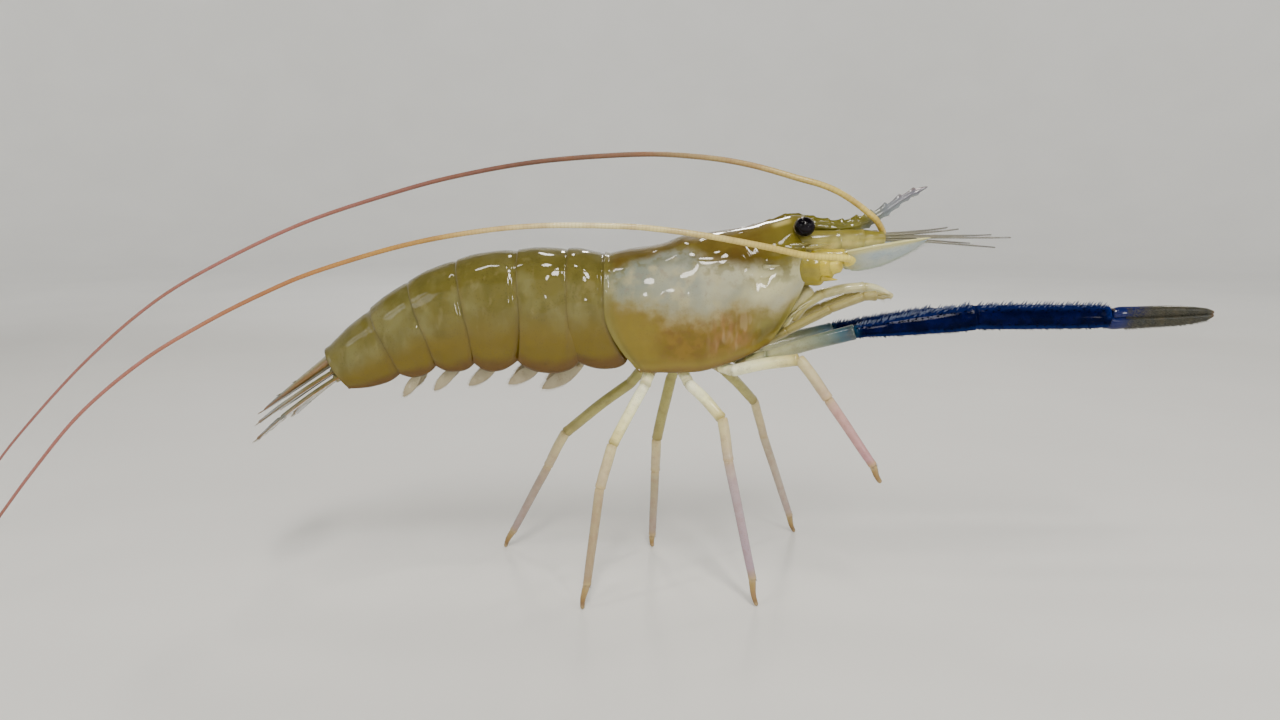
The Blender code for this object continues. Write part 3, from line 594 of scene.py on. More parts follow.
# ---- materials ------------------------------------------------------------------------------------
def add_node(tree, kind, inputs=None, output=None, **settings):
    """Add a shader node and return its first output in use, or the named one.

    inputs maps names or numbers of the node's inputs in use to sockets, numbers or colours.
    """
    made = tree.nodes.new("ShaderNode" + kind)
    for key, value in settings.items():
        setattr(made, key, value)
    for key, value in (inputs or {}).items():
        used = [socket for socket in made.inputs if socket.enabled]
        socket = used[key] if isinstance(key, int) else next(s for s in used if s.name == key)
        if isinstance(value, bpy.types.NodeSocket):
            tree.links.new(value, socket)
        elif socket.type == "RGBA":
            socket.default_value = paint(value)
        else:
            socket.default_value = value
    return made.outputs[output] if output else next(s for s in made.outputs if s.enabled)


def reckon(tree, operation, *values):
    """Arithmetic on sockets and numbers."""
    return add_node(tree, "Math", dict(enumerate(values)), operation=operation)


def waves(tree, value, count):
    """That many sine waves, -1 to 1, while the value goes from 0 to 1."""
    return reckon(tree, "SINE", reckon(tree, "MULTIPLY", value, count * TURN))


def new_material(name, roughness, coat=1.0, coat_roughness=0.06, ior=1.5, subsurface=0.0, specular=0.25,
                 translucency=1.2):
    """A Principled material and its tree; what is the same all over is set on the shader itself."""
    material = bpy.data.materials.new(name)
    material.use_nodes = True
    shader = material.node_tree.nodes["Principled BSDF"]
    for key, value in (("Roughness", roughness), ("IOR", ior), ("Coat Weight", coat),
                       ("Coat Roughness", coat_roughness), ("Specular IOR Level", specular),
                       ("Subsurface Weight", subsurface), ("Subsurface Scale", translucency * MM)):
        shader.inputs[key].default_value = value
    shader.inputs["Subsurface Radius"].default_value = (1.0, 0.75, 0.45)
    return material, material.node_tree, shader


def point_value(tree, name):
    """One of the meshes' own point attributes."""
    return add_node(tree, "Attribute", output="Fac", attribute_name=name)


def ramp(tree, value, stops):
    """A colour that runs through the stops, (share, colour), as the value goes from 0 to 1."""
    colour = add_node(tree, "ValToRGB", {0: value})
    elements = colour.node.color_ramp.elements
    while len(elements) < len(stops):
        elements.new(0.5)
    for element, (position, code) in zip(elements, stops):
        element.position, element.color = position, paint(code)
    return colour


def cloud(tree, size_mm, detail=3.0, seed=0.0, upright=1.0):
    """Soft noise, 0 to 1, whose lumps are about size_mm wide and upright times as tall."""
    place = add_node(tree, "TexCoord", output="Object")
    place = add_node(tree, "VectorMath", {0: place, 1: (seed, seed * 0.7, seed * 1.3)}, operation="ADD")
    if upright != 1.0:
        place = add_node(tree, "VectorMath", {0: place, 1: (1.0, 1.0, 1 / upright)}, operation="MULTIPLY")
    return add_node(tree, "TexNoise", {"Vector": place, "Scale": 1 / (size_mm * MM), "Detail": detail})


def band(tree, value, low, high, strength=1.0, within=None):
    """A mask that rises smoothly from 0 at low to strength at high, inside another mask if given."""
    mask = add_node(tree, "MapRange", {"Value": value, "From Min": low, "From Max": high, "To Max": strength},
                    interpolation_type="SMOOTHSTEP")
    if within is not None:
        mask = reckon(tree, "MULTIPLY", mask, within)
    return mask


def patches(tree, size_mm, low=0.4, high=0.6, strength=1.0, seed=0.0, detail=3.0, within=None, upright=1.0):
    """A mask of soft patches about size_mm wide."""
    return band(tree, cloud(tree, size_mm, detail, seed, upright), low, high, strength, within)


def layered(tree, ground, *coats):
    """Colours laid over a ground one after another, each (mask, colour) pair over all before it."""
    for mask, colour in coats:
        ground = add_node(tree, "Mix", {"Factor": mask, "A": ground, "B": colour}, data_type="RGBA")
    return ground


def wandering(tree, value, size_mm, amount, seed=0.0):
    """A value pushed up and down by soft noise, so that a boundary wanders."""
    swing = reckon(tree, "SUBTRACT", cloud(tree, size_mm, 4.0, seed), 0.5)
    return reckon(tree, "MULTIPLY_ADD", swing, amount, value)


def drawn_line(tree, value, low, high, points):
    """A value that follows a drawn line: points are (share of the way from low to high, value)."""
    place = add_node(tree, "MapRange", {"Value": value, "From Min": low, "From Max": high})
    return ramp(tree, place, [(at, (level,) * 3) for at, level in points])


def forward_mm(tree):
    """Distance forward in the body frame, millimetres."""
    metres = add_node(tree, "SeparateXYZ", {0: add_node(tree, "TexCoord", output="Object")}, output="X")
    return reckon(tree, "MULTIPLY_ADD", metres, 1 / MM, -HOME.x)


def dots(tree, size_mm, strength, seed=0.0):
    """A mask of chromatophores: fine dots in scattered groups."""
    place = add_node(tree, "TexCoord", output="Object")
    place = add_node(tree, "VectorMath", {0: place, 1: (seed, seed, seed)}, operation="ADD")
    cells = add_node(tree, "TexVoronoi", {"Vector": place, "Scale": 1 / (size_mm * MM)}, output="Distance")
    groups = patches(tree, size_mm * 6, 0.40, 0.60, strength, seed + 3.1, 2.0)
    return band(tree, cells, 0.38, 0.16, 1.0, groups)


def bump(tree, height, strength, depth_mm, **under):
    """Relief of a height from 0 to 1, over the normal given as Normal."""
    inputs = {"Height": height, "Strength": strength, "Distance": depth_mm * MM, **under}
    return add_node(tree, "Bump", inputs)


def cuticle_surface(tree, shader, colour, swell_mm, strength, pit_mm=0.35, extra=None, lift=0.22):
    """Give the shader a colour and the relief of cuticle: soft swells, fine pits, an extra height on them."""
    tree.links.new(colour, shader.inputs["Base Color"])
    normal = bump(tree, cloud(tree, swell_mm, 0.0), strength, swell_mm * lift)
    normal = bump(tree, cloud(tree, pit_mm, 2.0, 1.7), 0.14, pit_mm * 0.35, Normal=normal)
    if extra is not None:
        normal = bump(tree, extra, 0.6, 0.05, Normal=normal)
    tree.links.new(normal, shader.inputs["Normal"])


def carapace_material():
    """Clear wet cuticle: it gives the sides their milky grey glow over the pale gill chamber, the olive
    back, the ochre and rosy blotches low down with pale upright streaks among them that are painted
    wet highlights, and hard wet glints."""
    tint = colours()
    material, tree, shader = new_material("wet_carapace_cuticle", 0.42, coat=0.8, coat_roughness=0.04,
                                          subsurface=0.2, specular=0.03)
    row = wandering(tree, point_value(tree, "across"), 14.0, 0.10)
    forward, share = forward_mm(tree), point_value(tree, "along")
    # Where the grey of the gill cover begins below the back, and where it ends above the lower rim.
    upper = drawn_line(tree, forward, -12.0, 54.0, ((0.0, 0.34), (0.16, 0.26), (0.28, 0.20), (0.42, 0.25),
                                                    (0.52, 0.34), (0.66, 0.42), (0.81, 0.45), (1.0, 0.50)))
    lower = drawn_line(tree, forward, -12.0, 54.0, ((0.0, 0.56), (0.28, 0.64), (0.47, 0.67), (0.70, 0.67),
                                                    (0.86, 0.82)))
    above = reckon(tree, "SUBTRACT", wandering(tree, row, 5.0, 0.10, 2.0), upper)
    below = reckon(tree, "SUBTRACT", wandering(tree, row, 4.0, 0.16, 4.0), lower)
    top, low = band(tree, above, 0.05, -0.06), band(tree, below, -0.10, 0.09)
    middle = band(tree, forward, 20.0, 26.0, 1.0, band(tree, forward, 40.0, 34.0, 1.0, low))
    # Where the back meets the sides, and the pale patch above the orbit.
    brink = band(tree, above, 0.16, 0.02, 1.0, band(tree, above, -0.10, 0.0))
    orbit = band(tree, forward, 42.0, 45.0, 1.0, band(tree, forward, 50.0, 47.5))
    orbit = band(tree, row, 0.20, 0.15, 1.0, orbit)
    colour = layered(
        tree, tint.side,
        (patches(tree, 13.0, 0.40, 0.64, 0.8, 1.0), "868C80"),
        (band(tree, forward, 12.0, -4.0, 0.85), "788072"),
        (patches(tree, 6.0, 0.48, 0.70, 0.7, 4.0), "B2AA84"),
        (patches(tree, 3.0, 0.56, 0.72, 0.4, 6.0), "8C7A66"),
        (band(tree, below, -0.18, 0.0, 0.6), "988C58"),
        (low, tint.blotch),
        (patches(tree, 5.5, 0.42, 0.58, 0.95, 7.0, 3.0, low), tint.rim),
        (patches(tree, 3.5, 0.50, 0.64, 0.6, 8.0, 3.0, low), "6A4C12"),
        (band(tree, forward, 10.0, 2.0, 0.8, low), "7D6D1C"),
        (band(tree, forward, 32.0, 40.0, 0.8, low), "7C783A"),
        (band(tree, row, 0.80, 0.90, 0.9, band(tree, forward, 30.0, 40.0)), "5E541C"),
        (patches(tree, 4.0, 0.42, 0.62, 0.6, 9.0, 2.0, middle, 2.5), "946A3C"),
        # Pale upright streaks within the rosy blotches: painted wet highlights.
        (patches(tree, 2.6, 0.52, 0.68, 0.4, 5.0, 1.0, middle, 3.0), "A8946A"),
        (band(tree, row, 0.86, 0.97, 0.85), "7C6C26"),
        (band(tree, forward, 28.0, 42.0, 0.85, band(tree, row, 0.68, 0.58)), "C2BE92"),
        (top, tint.back),
        (patches(tree, 7.0, 0.42, 0.66, 0.6, 11.0, 4.0, top), "6E5E20"),
        (patches(tree, 9.0, 0.50, 0.66, 0.4, 12.0, 3.0, top), "624614"),
        (band(tree, share, 0.085, 0.0, 0.6), "6E6A34"),
        (band(tree, forward, 36.0, 48.0, 1.0, band(tree, above, 0.08, -0.04)), tint.head),
        (patches(tree, 4.0, 0.44, 0.58, 0.6, 14.0, 3.0, brink), "686024"),
        (band(tree, row, 0.10, 0.13, 0.7, orbit), "C4B46A"),
        (band(tree, share, 0.93, 0.99, 0.6, band(tree, row, 0.68, 0.78)), "857C36"),
        (dots(tree, 0.9, 0.14, 2.0), "5A4A20"),
        (band(tree, row, 0.955, 0.99, 0.7), "6A5224"))
    cuticle_surface(tree, shader, colour, 5.0, 1.0, lift=0.14)
    return material


def rostrum_material():
    """Wet cuticle of the rostrum: olive at the root, clear grey green, then reddish brown at the tip."""
    material, tree, shader = new_material("wet_rostrum_cuticle", 0.36, coat_roughness=0.04, subsurface=0.3,
                                          specular=0.05)
    forward = wandering(tree, forward_mm(tree), 6.0, 8.0)
    ground = ramp(tree, band(tree, forward, 30.0, 95.0), (
        (0.0, "5E4E18"), (0.35, "5E5816"), (0.60, "6A6620"), (0.72, "827C30"),
        (0.79, "74765A"), (0.87, "6E747A"), (1.0, "686470")))
    height = point_value(tree, "across")
    colour = layered(tree, ground,
                     (band(tree, height, 0.40, 0.14, 0.6, band(tree, forward, 66.0, 80.0)), "8A9494"),
                     (band(tree, height, 0.62, 0.86, 0.5, band(tree, forward, 84.0, 92.0)), "6A5048"),
                     (dots(tree, 0.7, 0.2, 4.0), "4A3420"))
    cuticle_surface(tree, shader, colour, 2.2, 0.35)
    return material


def abdomen_material(number):
    """Clear wet cuticle over dark muscle: olive green, browner at the seams and the lower rim."""
    tint = colours()
    material, tree, shader = new_material(f"wet_abdomen_cuticle_{number}", 0.42, coat=0.8,
                                          coat_roughness=0.04, subsurface=0.15, specular=0.03)
    row, share = wandering(tree, point_value(tree, "across"), 9.0, 0.12), point_value(tree, "along")
    colour = layered(
        tree, tint.abdomen,
        (patches(tree, 10.0, 0.40, 0.66, 0.8, 2.0 + number), "767142"),
        (patches(tree, 5.0, 0.46, 0.70, 0.6, 5.0 + number, 3.0, None, 2.5), "565018"),
        (patches(tree, 3.0, 0.56, 0.72, 0.4, 7.0 + number, 3.0, None, 2.0), "827848"),
        (band(tree, row, 0.30, 0.10, 0.8), "58501C"),
        (band(tree, row, 0.52, 0.80, 0.95), "675600"),
        (band(tree, row, 0.88, 0.98, 0.85), "533608"),
        (band(tree, share, 0.25, 0.18, 0.2), tint.seam),
        (band(tree, share, 0.93, 0.985, 0.2), tint.seam),
        (dots(tree, 0.8, 0.25, 5.0), "3A3014"))
    cuticle_surface(tree, shader, colour, 5.0, 1.0, lift=0.14)
    return material


def limb_material(name, stops, joint_hex, roughness=0.40, dot_hex="5A4A1E", dot=0.25, coat=0.8,
                  subsurface=0.25, faces=()):
    """Thin limb cuticle, slightly clear: its colour runs along the limb and deepens at the joints.

    faces, where given, are painted shading: the colour of its upper face, painted darker against the
    light from above, and of its lower face, painted light where shade falls.
    """
    material, tree, shader = new_material(name, roughness, coat=coat, coat_roughness=0.1,
                                          subsurface=subsurface, translucency=1.0)
    place = wandering(tree, point_value(tree, "along"), 6.0, 0.08)
    ground = ramp(tree, place, stops)
    if faces:
        # Painted shading: the upper face darker against the light from above, the lower face lighter where
        # shade falls.
        height = wandering(tree, waves(tree, point_value(tree, "across"), 1), 4.0, 0.5, 5.0)
        ground = layered(tree, ground, (band(tree, height, 0.1, 0.6, 0.9), faces[0]),
                         (band(tree, height, 0.1, -0.5, 0.9), faces[1]))
    colour = layered(tree, ground,
                     (patches(tree, 3.0, 0.42, 0.70, 0.22, 9.0), dot_hex),
                     (band(tree, point_value(tree, "joint"), 0.15, 0.9, 0.5), joint_hex),
                     (dots(tree, 0.55, dot, 1.0), dot_hex))
    cuticle_surface(tree, shader, colour, 1.8, 0.25, 0.25)
    return material


def hair_material(name, root_hex, tip_hex, roughness=0.55, coat=0.0, specular=0.25):
    """Chitin hairs: darker at the root, so the fringes read as soft edges; spines have a wet coat."""
    material, tree, shader = new_material(name, roughness, coat=coat, specular=specular)
    ground = ramp(tree, point_value(tree, "across"), ((0.0, root_hex), (1.0, tip_hex)))
    colour = layered(tree, ground, (patches(tree, 1.5, 0.4, 0.65, 0.5, 3.0), root_hex))
    tree.links.new(colour, shader.inputs["Base Color"])
    return material


def claw_material():
    """Thick pigmented cuticle of the great claws: near-black navy, a teal band low on its side that is
    partly painted reflection of the pale floor, a bluish band along its top that is painted sheen,
    bright blue at the knuckle, with small wet glints.  along runs over both long joints."""
    tint = colours()
    material, tree, shader = new_material("navy_claw_cuticle", 0.4, coat=0.08, specular=0.0)
    across, along = point_value(tree, "across"), point_value(tree, "along")
    # Low on the camera side: teal, partly its own colour and partly painted reflection of the pale floor.
    teal_and_floor_reflection = band(tree, wandering(tree, across, 6.0, 0.08), 0.58, 0.64, 0.8, band(tree, across, 0.84, 0.76))
    colour = layered(
        tree, tint.claw,
        (patches(tree, 5.0, 0.44, 0.64, 0.8, 2.0), "02083A"),
        (teal_and_floor_reflection, "0A2058"),
        # A bluish band along the top: painted sheen.
        (band(tree, across, 0.42, 0.34, 0.8, band(tree, across, 0.10, 0.18)), "101C4C"),
        (band(tree, along, 0.04, 0.0, 0.8), "163A50"),
        (band(tree, wandering(tree, along, 5.0, 0.05, 3.0), 0.96, 0.99, 0.7, band(tree, across, 0.56, 0.46)),
         "061E66"),
        (dots(tree, 0.7, 0.4, 4.0), "01030C"))
    cuticle_surface(tree, shader, colour, 1.4, 0.8, 0.3)
    return material


def felt_material():
    """Dark cuticle of the claw fingers under its felt: olive grey, matt, blue at the root."""
    material, tree, shader = new_material("claw_finger_cuticle", 0.5, coat=0.6, specular=0.05)
    along = wandering(tree, point_value(tree, "along"), 4.0, 0.10, 3.0)
    colour = layered(
        tree, "35352C",
        (patches(tree, 2.5, 0.4, 0.65, 0.8, 2.0), "4C4636"),
        (patches(tree, 4.0, 0.5, 0.7, 0.6, 6.0), "262E34"),
        (band(tree, along, 0.40, 0.22, 0.97), "02124E"),
        (band(tree, point_value(tree, "along"), 0.95, 0.995, 0.9), "5E4630"),
        (band(tree, point_value(tree, "along"), 1.5, 1.9), "3E3434"))
    cuticle_surface(tree, shader, colour, 1.6, 0.4, 0.2)
    return material


def eye_material():
    """Dark screening pigment under a clear hard cornea: black with a purple-brown cast, mirror glints."""
    material, tree, shader = new_material("compound_eye_cornea", 0.2, coat=0.35, coat_roughness=0.02,
                                          ior=1.45, specular=0.02)
    colour = layered(tree, "030104", (patches(tree, 2.2, 0.4, 0.7, 1.0, 1.0, 2.0), "100814"))
    tree.links.new(colour, shader.inputs["Base Color"])
    # Real facets are 0.06 mm across; drawn at 0.22 mm, because smaller ones would not show.
    place = add_node(tree, "TexCoord", output="Object")
    facets = add_node(tree, "TexVoronoi", {"Vector": place, "Scale": 1 / (0.22 * MM), "Randomness": 0.2},
                      output="Distance")
    tree.links.new(bump(tree, facets, 0.05, 0.05), shader.inputs["Normal"])
    return material


def scale_material():
    """Thin milky blue cuticle with fine veins; its thick outer rib is a pale yellow."""
    material, tree, shader = new_material("antenna_scale_cuticle", 0.32, subsurface=0.3)
    across, along = point_value(tree, "across"), point_value(tree, "along")
    colour = layered(
        tree, "B8C2BC",
        (patches(tree, 5.0, 0.4, 0.65, 0.8, 6.0), "A2B4BC"),
        (band(tree, along, 0.34, 0.0, 0.95), "BDB65C"),
        (band(tree, across, 0.20, 0.0, 0.6), "A6BA9A"),
        (band(tree, across, 0.66, 0.90), "D2CC8C"),
        (dots(tree, 0.7, 0.3, 3.0), "6A6A4A"))
    # Fine veins run along the blade, about 0.6 mm apart.
    veins = waves(tree, across, 18)
    cuticle_surface(tree, shader, colour, 2.5, 0.2, 0.25, veins)
    return material


def fan_material():
    """Wet plates of the tail fan: olive with bluish ends and rusty edges."""
    material, tree, shader = new_material("wet_tail_fan_cuticle", 0.34, subsurface=0.2)
    across, along = point_value(tree, "across"), wandering(tree, point_value(tree, "along"), 6.0, 0.12)
    middle = reckon(tree, "SUBTRACT", across, 0.5)
    edge = reckon(tree, "ABSOLUTE", middle)
    colour = layered(
        tree, "766E3E",
        (patches(tree, 5.0, 0.4, 0.66, 0.8, 2.0), "857C50"),
        (band(tree, along, 0.50, 0.85, 0.75), "4E5E66"),
        (band(tree, along, 0.88, 0.99, 0.8), "7A4A22"),
        (band(tree, edge, 0.40, 0.49, 0.7), "7E5426"),
        (dots(tree, 0.7, 0.6, 3.0), "38300F"))
    cuticle_surface(tree, shader, colour, 2.5, 0.3, 0.3)
    return material


def feeler_material(tag):
    """Ringed whip cuticle, yellow orange at the root and salmon pink towards the tip."""
    tint = colours()
    material, tree, shader = new_material(f"feeler_cuticle_{tag}", 0.42, coat=0.6, coat_roughness=0.15,
                                          specular=0.2)
    along = point_value(tree, "along")
    # The near feeler's root is pale lemon, partly its own colour and partly a painted highlight where it
    # turns.
    near = ((0.0, "EEDC62"), (0.10, tint.feeler), (0.28, "E8DAA0"), (0.42, "B48C3C"),
            (0.56, "AE7440"), (0.72, tint.feeler_end), (1.0, "96605A"))
    far = ((0.0, "D8B84C"), (0.10, "CDB65C"), (0.17, "B89E62"), (0.22, "A08A5C"),
           (0.27, "7E5E46"), (0.36, "6C4A3A"), (0.60, tint.feeler_end), (1.0, "96605A"))
    ground = ramp(tree, along, near if tag == "R" else far)
    rings = waves(tree, along, WHIP_LENGTH / RING_PITCH)
    colour = layered(tree, ground,
                     (band(tree, rings, 0.3, 1.0, 0.16), "6E4322"),
                     (patches(tree, 7.0, 0.45, 0.65, 0.3, 2.0), "8A5A3A"))
    tree.links.new(colour, shader.inputs["Base Color"])
    tree.links.new(bump(tree, rings, 0.2, 0.06), shader.inputs["Normal"])
    return material


def floor_material():
    """Matt pale studio board."""
    material, tree, shader = new_material("studio_board", 0.85, coat=0.0, specular=0.2)
    colour = layered(tree, "ECEBE7", (patches(tree, 120.0, 0.3, 0.7, 1.0), "E9E8E4"))
    tree.links.new(colour, shader.inputs["Base Color"])
    return material


# ---- body surfaces --------------------------------------------------------------------------------
def body_row(row, top, margin, half_width):
    """(y, height) at a continuous row: 0 crest, 4 widest, 7 lower margin."""
    foot = half_width * 0.80
    if row <= ROUND_ROWS:
        turn = radians(90.0 * row / ROUND_ROWS)
        return (half_width * abs(sin(turn)) ** WIDEST_POWER,
                top * abs(cos(turn)) ** WIDEST_POWER)
    drop = margin * (row - ROUND_ROWS) / (LAST_ROW - ROUND_ROWS)
    return half_width - (half_width - foot) * (drop / margin) ** 1.7, -drop


def hind_edge(height):
    """x of the carapace's hind edge at a height."""
    fall = max(0.0, (BODY_AXIS - 1.0 - height) / 20.0)
    return CARAPACE_REAR + HIND_SWEEP * fall ** 1.7


def carapace_at(share, row):
    """Right-hand point of the carapace: share 0 hind edge to 1 front edge, row 0 crest to 7 margin."""
    front = table_row(FRONT_TABLE, row)[0]
    x = 20.0
    for _ in range(4):
        crest, middle, half_width, margin = table_row(CARAPACE_TABLE, x)
        depth = middle - margin
        y, rise = body_row(row, crest - middle, depth, half_width)
        z = middle + rise
        rear = hind_edge(z)
        x = rear + (front - rear) * share
    return x, y, z


def carapace_relief(x, y, z, share, row):
    """Outward offset in millimetres: rims, grooves and the ridges of the front corner."""
    rim = 0.25 * bump_at(row, LAST_ROW - 0.12, 0.10) - 0.16 * bump_at(row, LAST_ROW - 0.42, 0.12)
    rear = 0.30 * bump_at(share, 0.0, 0.012) - 0.2 * bump_at(share, 0.028, 0.014)
    front = 0.18 * bump_at(share, 1.0, 0.012) * smooth_step(2.4, 3.2, row)
    cervical = -0.35 * bump_at(x - (34 + 3.0 * (row - 2)), 0.0, 1.6) * bump_at(row, 2.6, 1.1)
    suture = -0.22 * bump_at(row, 3.35 + 0.25 * (1 - share), 0.07) * smooth_step(0.62, 0.75, share)
    ridge = 0.5 * bump_at(row, 2.95, 0.2) * smooth_step(0.80, 0.98, share)
    swell = noise.noise(Vector((x, y, z)) * 0.16) * 0.28
    return rim + rear + front + cervical + suture + ridge + swell


def outward(row):
    """Rough outward direction, sideways and up, of a section's row."""
    turn = radians(90.0 * min(row, ROUND_ROWS) / ROUND_ROWS)
    if row > ROUND_ROWS:
        turn += radians(24.0 * (row - ROUND_ROWS) / (LAST_ROW - ROUND_ROWS))
    return sin(turn), cos(turn)


class PRAWN_OT_carapace(Operator):
    """Build the carapace with its rims, grooves and cheek spines"""
    bl_idname = "prawn.carapace"
    bl_label = "Carapace"

    def execute(self, context):
        def place(u, v):
            row, side = from_crest(v) * LAST_ROW, (1 if v > 0.5 else -1)
            x, y, z = carapace_at(u, row)
            lift = carapace_relief(x, y * side, z, u, row)
            out_y, out_z = outward(row)
            return x, side * (y + lift * out_y), z + lift * out_z
        skin = carapace_material()
        add_piece("carapace_shell", change_across(sheet_mesh(150, 140, place), from_crest), [skin],
                  "carapace_shell", "carapace", thickness=sizes().shell_thickness)
        spines = [spine(sided(base, side), sided(tip, side), radius, 24, 12, bend=(0.0, side * 0.15, 0.0),
                        taper=0.8)
                  for side in SIDES.values()
                  for base, tip, radius in (((47.0, 9.9, 115.6), (56.2, 10.9, 116.6), 1.0),
                                            ((39.0, 14.2, 109.2), (44.6, 14.9, 109.8), 0.9))]
        # Half way down the section, where the cheek's colours lie.
        add_piece("cheek_spines", change_across(joined_mesh(spines), lambda v: 0.5), [skin], "carapace_shell")
        return {"FINISHED"}


# x and height of the rostrum's upper and lower line, the x where its blade and its teeth begin
ROSTRUM_START, DORSAL_START, VENTRAL_START = 28.0, 33.0, 64.0
TOP_LINE = ((26.0, 118.6), (33.0, 121.1), (36.3, 121.7), (42.9, 123.7), (46.2, 124.9), (49.5, 125.8),
            (56.0, 125.0), (62.7, 123.7), (66.0, 123.5), (69.3, 124.0), (75.9, 126.0), (80.6, 128.3),
            (85.7, 131.4), (90.9, 133.9), ROSTRUM_TIP)
LOW_LINE = ((26.0, 116.6), (50.0, 119.0), (57.0, 119.2), (64.0, 118.9), (71.0, 119.6), (77.0, 122.2),
            (80.6, 124.6), (83.1, 126.4), (85.7, 128.6), (88.3, 130.4), (90.9, 131.8),
            (ROSTRUM_TIP[0], ROSTRUM_TIP[1] - 0.5))


def tooth_shape(share, lean=0.80):
    """Height of a forward-pointing tooth over one pitch."""
    if share < lean:
        return (share / lean) ** 2.2
    return max(0.0, 1 - (share - lean) / (1 - lean)) ** 0.7


def rostrum_section(x):
    """Lower and upper edge heights and half thickness of the blade at x."""
    tip_x = ROSTRUM_TIP[0]
    count, under = sizes().dorsal_teeth, sizes().ventral_teeth
    end, under_end = tip_x - 4.0, tip_x - 2.5
    top, low = table_row(TOP_LINE, x)[0], table_row(LOW_LINE, x)[0]
    if DORSAL_START < x < end:
        place = ((x - DORSAL_START) / (end - DORSAL_START)) ** 1.06 * count
        top += (0.35 + 0.8 * bump_at(x, 80.0, 15.0)) * tooth_shape(place % 1.0)
    if VENTRAL_START < x < under_end:
        place = (x - VENTRAL_START) / (under_end - VENTRAL_START) * under
        low -= (1.0 - 0.5 * place / under) * tooth_shape(place % 1.0)
    share = smooth_step(44.0, tip_x, x)
    return low, top, 1.55 - 1.2 * share


class PRAWN_OT_rostrum(Operator):
    """Build the toothed rostrum blade with its side ridge"""
    bl_idname = "prawn.rostrum"
    bl_label = "Rostrum"

    def execute(self, context):
        tip_x = ROSTRUM_TIP[0]

        def height(v):
            return (1 - cos(TURN * v)) / 2

        def place(u, v):
            x = ROSTRUM_START + (tip_x - ROSTRUM_START) * u
            low, top, thick = rostrum_section(min(x, tip_x - 0.05))
            if u > 0.985:
                shrink = sqrt(max(0.0, 1 - ((u - 0.985) / 0.015) ** 2))
                middle = (low + top) / 2
                low, top = middle + (low - middle) * shrink, middle + (top - middle) * shrink
                thick *= shrink
            turn = TURN * v
            z = low + (top - low) * height(v)
            lens = abs(sin(turn)) ** 0.75
            plain_low, plain_top = table_row(LOW_LINE, x)[0], table_row(TOP_LINE, x)[0]
            level = (z - plain_low) / max(plain_top - plain_low, 0.5)
            rib = 0.55 * bump_at(level, 0.42, 0.13) * (1 - smooth_step(60.0, tip_x, x) * 0.6)
            fade = smooth_step(1.25, 0.75, level) * 0.7 + 0.3
            return x, copysign(thick * lens * fade + rib * lens, sin(turn)), z
        blade = change_across(turn_outward(sheet_mesh(620, 36, place)), height)
        add_piece("rostrum_blade", [blade, self.fringe()],
                  [rostrum_material(), hair_material("rostrum_fringe", "8A7A5A", "A89A80")], "carapace_shell")
        return {"FINISHED"}

    def fringe(self):
        """Short hairs between the teeth."""
        chance = random.Random(11)
        hairs = []
        for _ in range(260):
            x = 44.0 + 46.0 * chance.random()
            low, top = rostrum_section(x)[:2]
            above = chance.random() < 0.5
            hairs.append(((x, chance.uniform(-0.25, 0.25), (top - 0.25) if above else (low + 0.25)),
                          (0.9, chance.uniform(-0.2, 0.2), 0.5 if above else -0.5), chance.uniform(0.5, 1.1)))
        return hairs_mesh(hairs, 0.05)


def axis_frame(distance):
    """Centre, backward way and upward normal of the abdomen's axis."""
    step, s, x, z = 0.5, 0.0, CARAPACE_REAR, BODY_AXIS
    while s < distance:
        pitch = radians(table_row(ABDOMEN_PITCH, s)[0])
        part = min(step, distance - s)
        x -= part * cos(pitch)
        z -= part * sin(pitch)
        s += step
    if distance < 0.0:
        x -= distance
    pitch = radians(table_row(ABDOMEN_PITCH, distance)[0])
    return (np.array((x, 0.0, z)), np.array((-cos(pitch), 0.0, -sin(pitch))),
            np.array((-sin(pitch), 0.0, cos(pitch))))


AXIS_START, AXIS_LENGTH, AXIS_STEP = -16.0, 150.0, 0.25
AXIS_FRAMES = [axis_frame(AXIS_START + AXIS_STEP * i) for i in range(int(AXIS_LENGTH / AXIS_STEP))]


def axis_at(distance):
    """Centre, backward way and upward normal at a distance, between two ready frames."""
    place = (distance - AXIS_START) / AXIS_STEP
    i = max(0, min(len(AXIS_FRAMES) - 2, int(place)))
    t = place - i
    return [a * (1 - t) + b * t for a, b in zip(AXIS_FRAMES[i], AXIS_FRAMES[i + 1])]


def seam(index, depth):
    """Distance of the seam ahead of a segment, which leans as it goes down."""
    return SEGMENT_ENDS[index] + SEAM_LEAN[index] * max(0.0, depth) ** 2


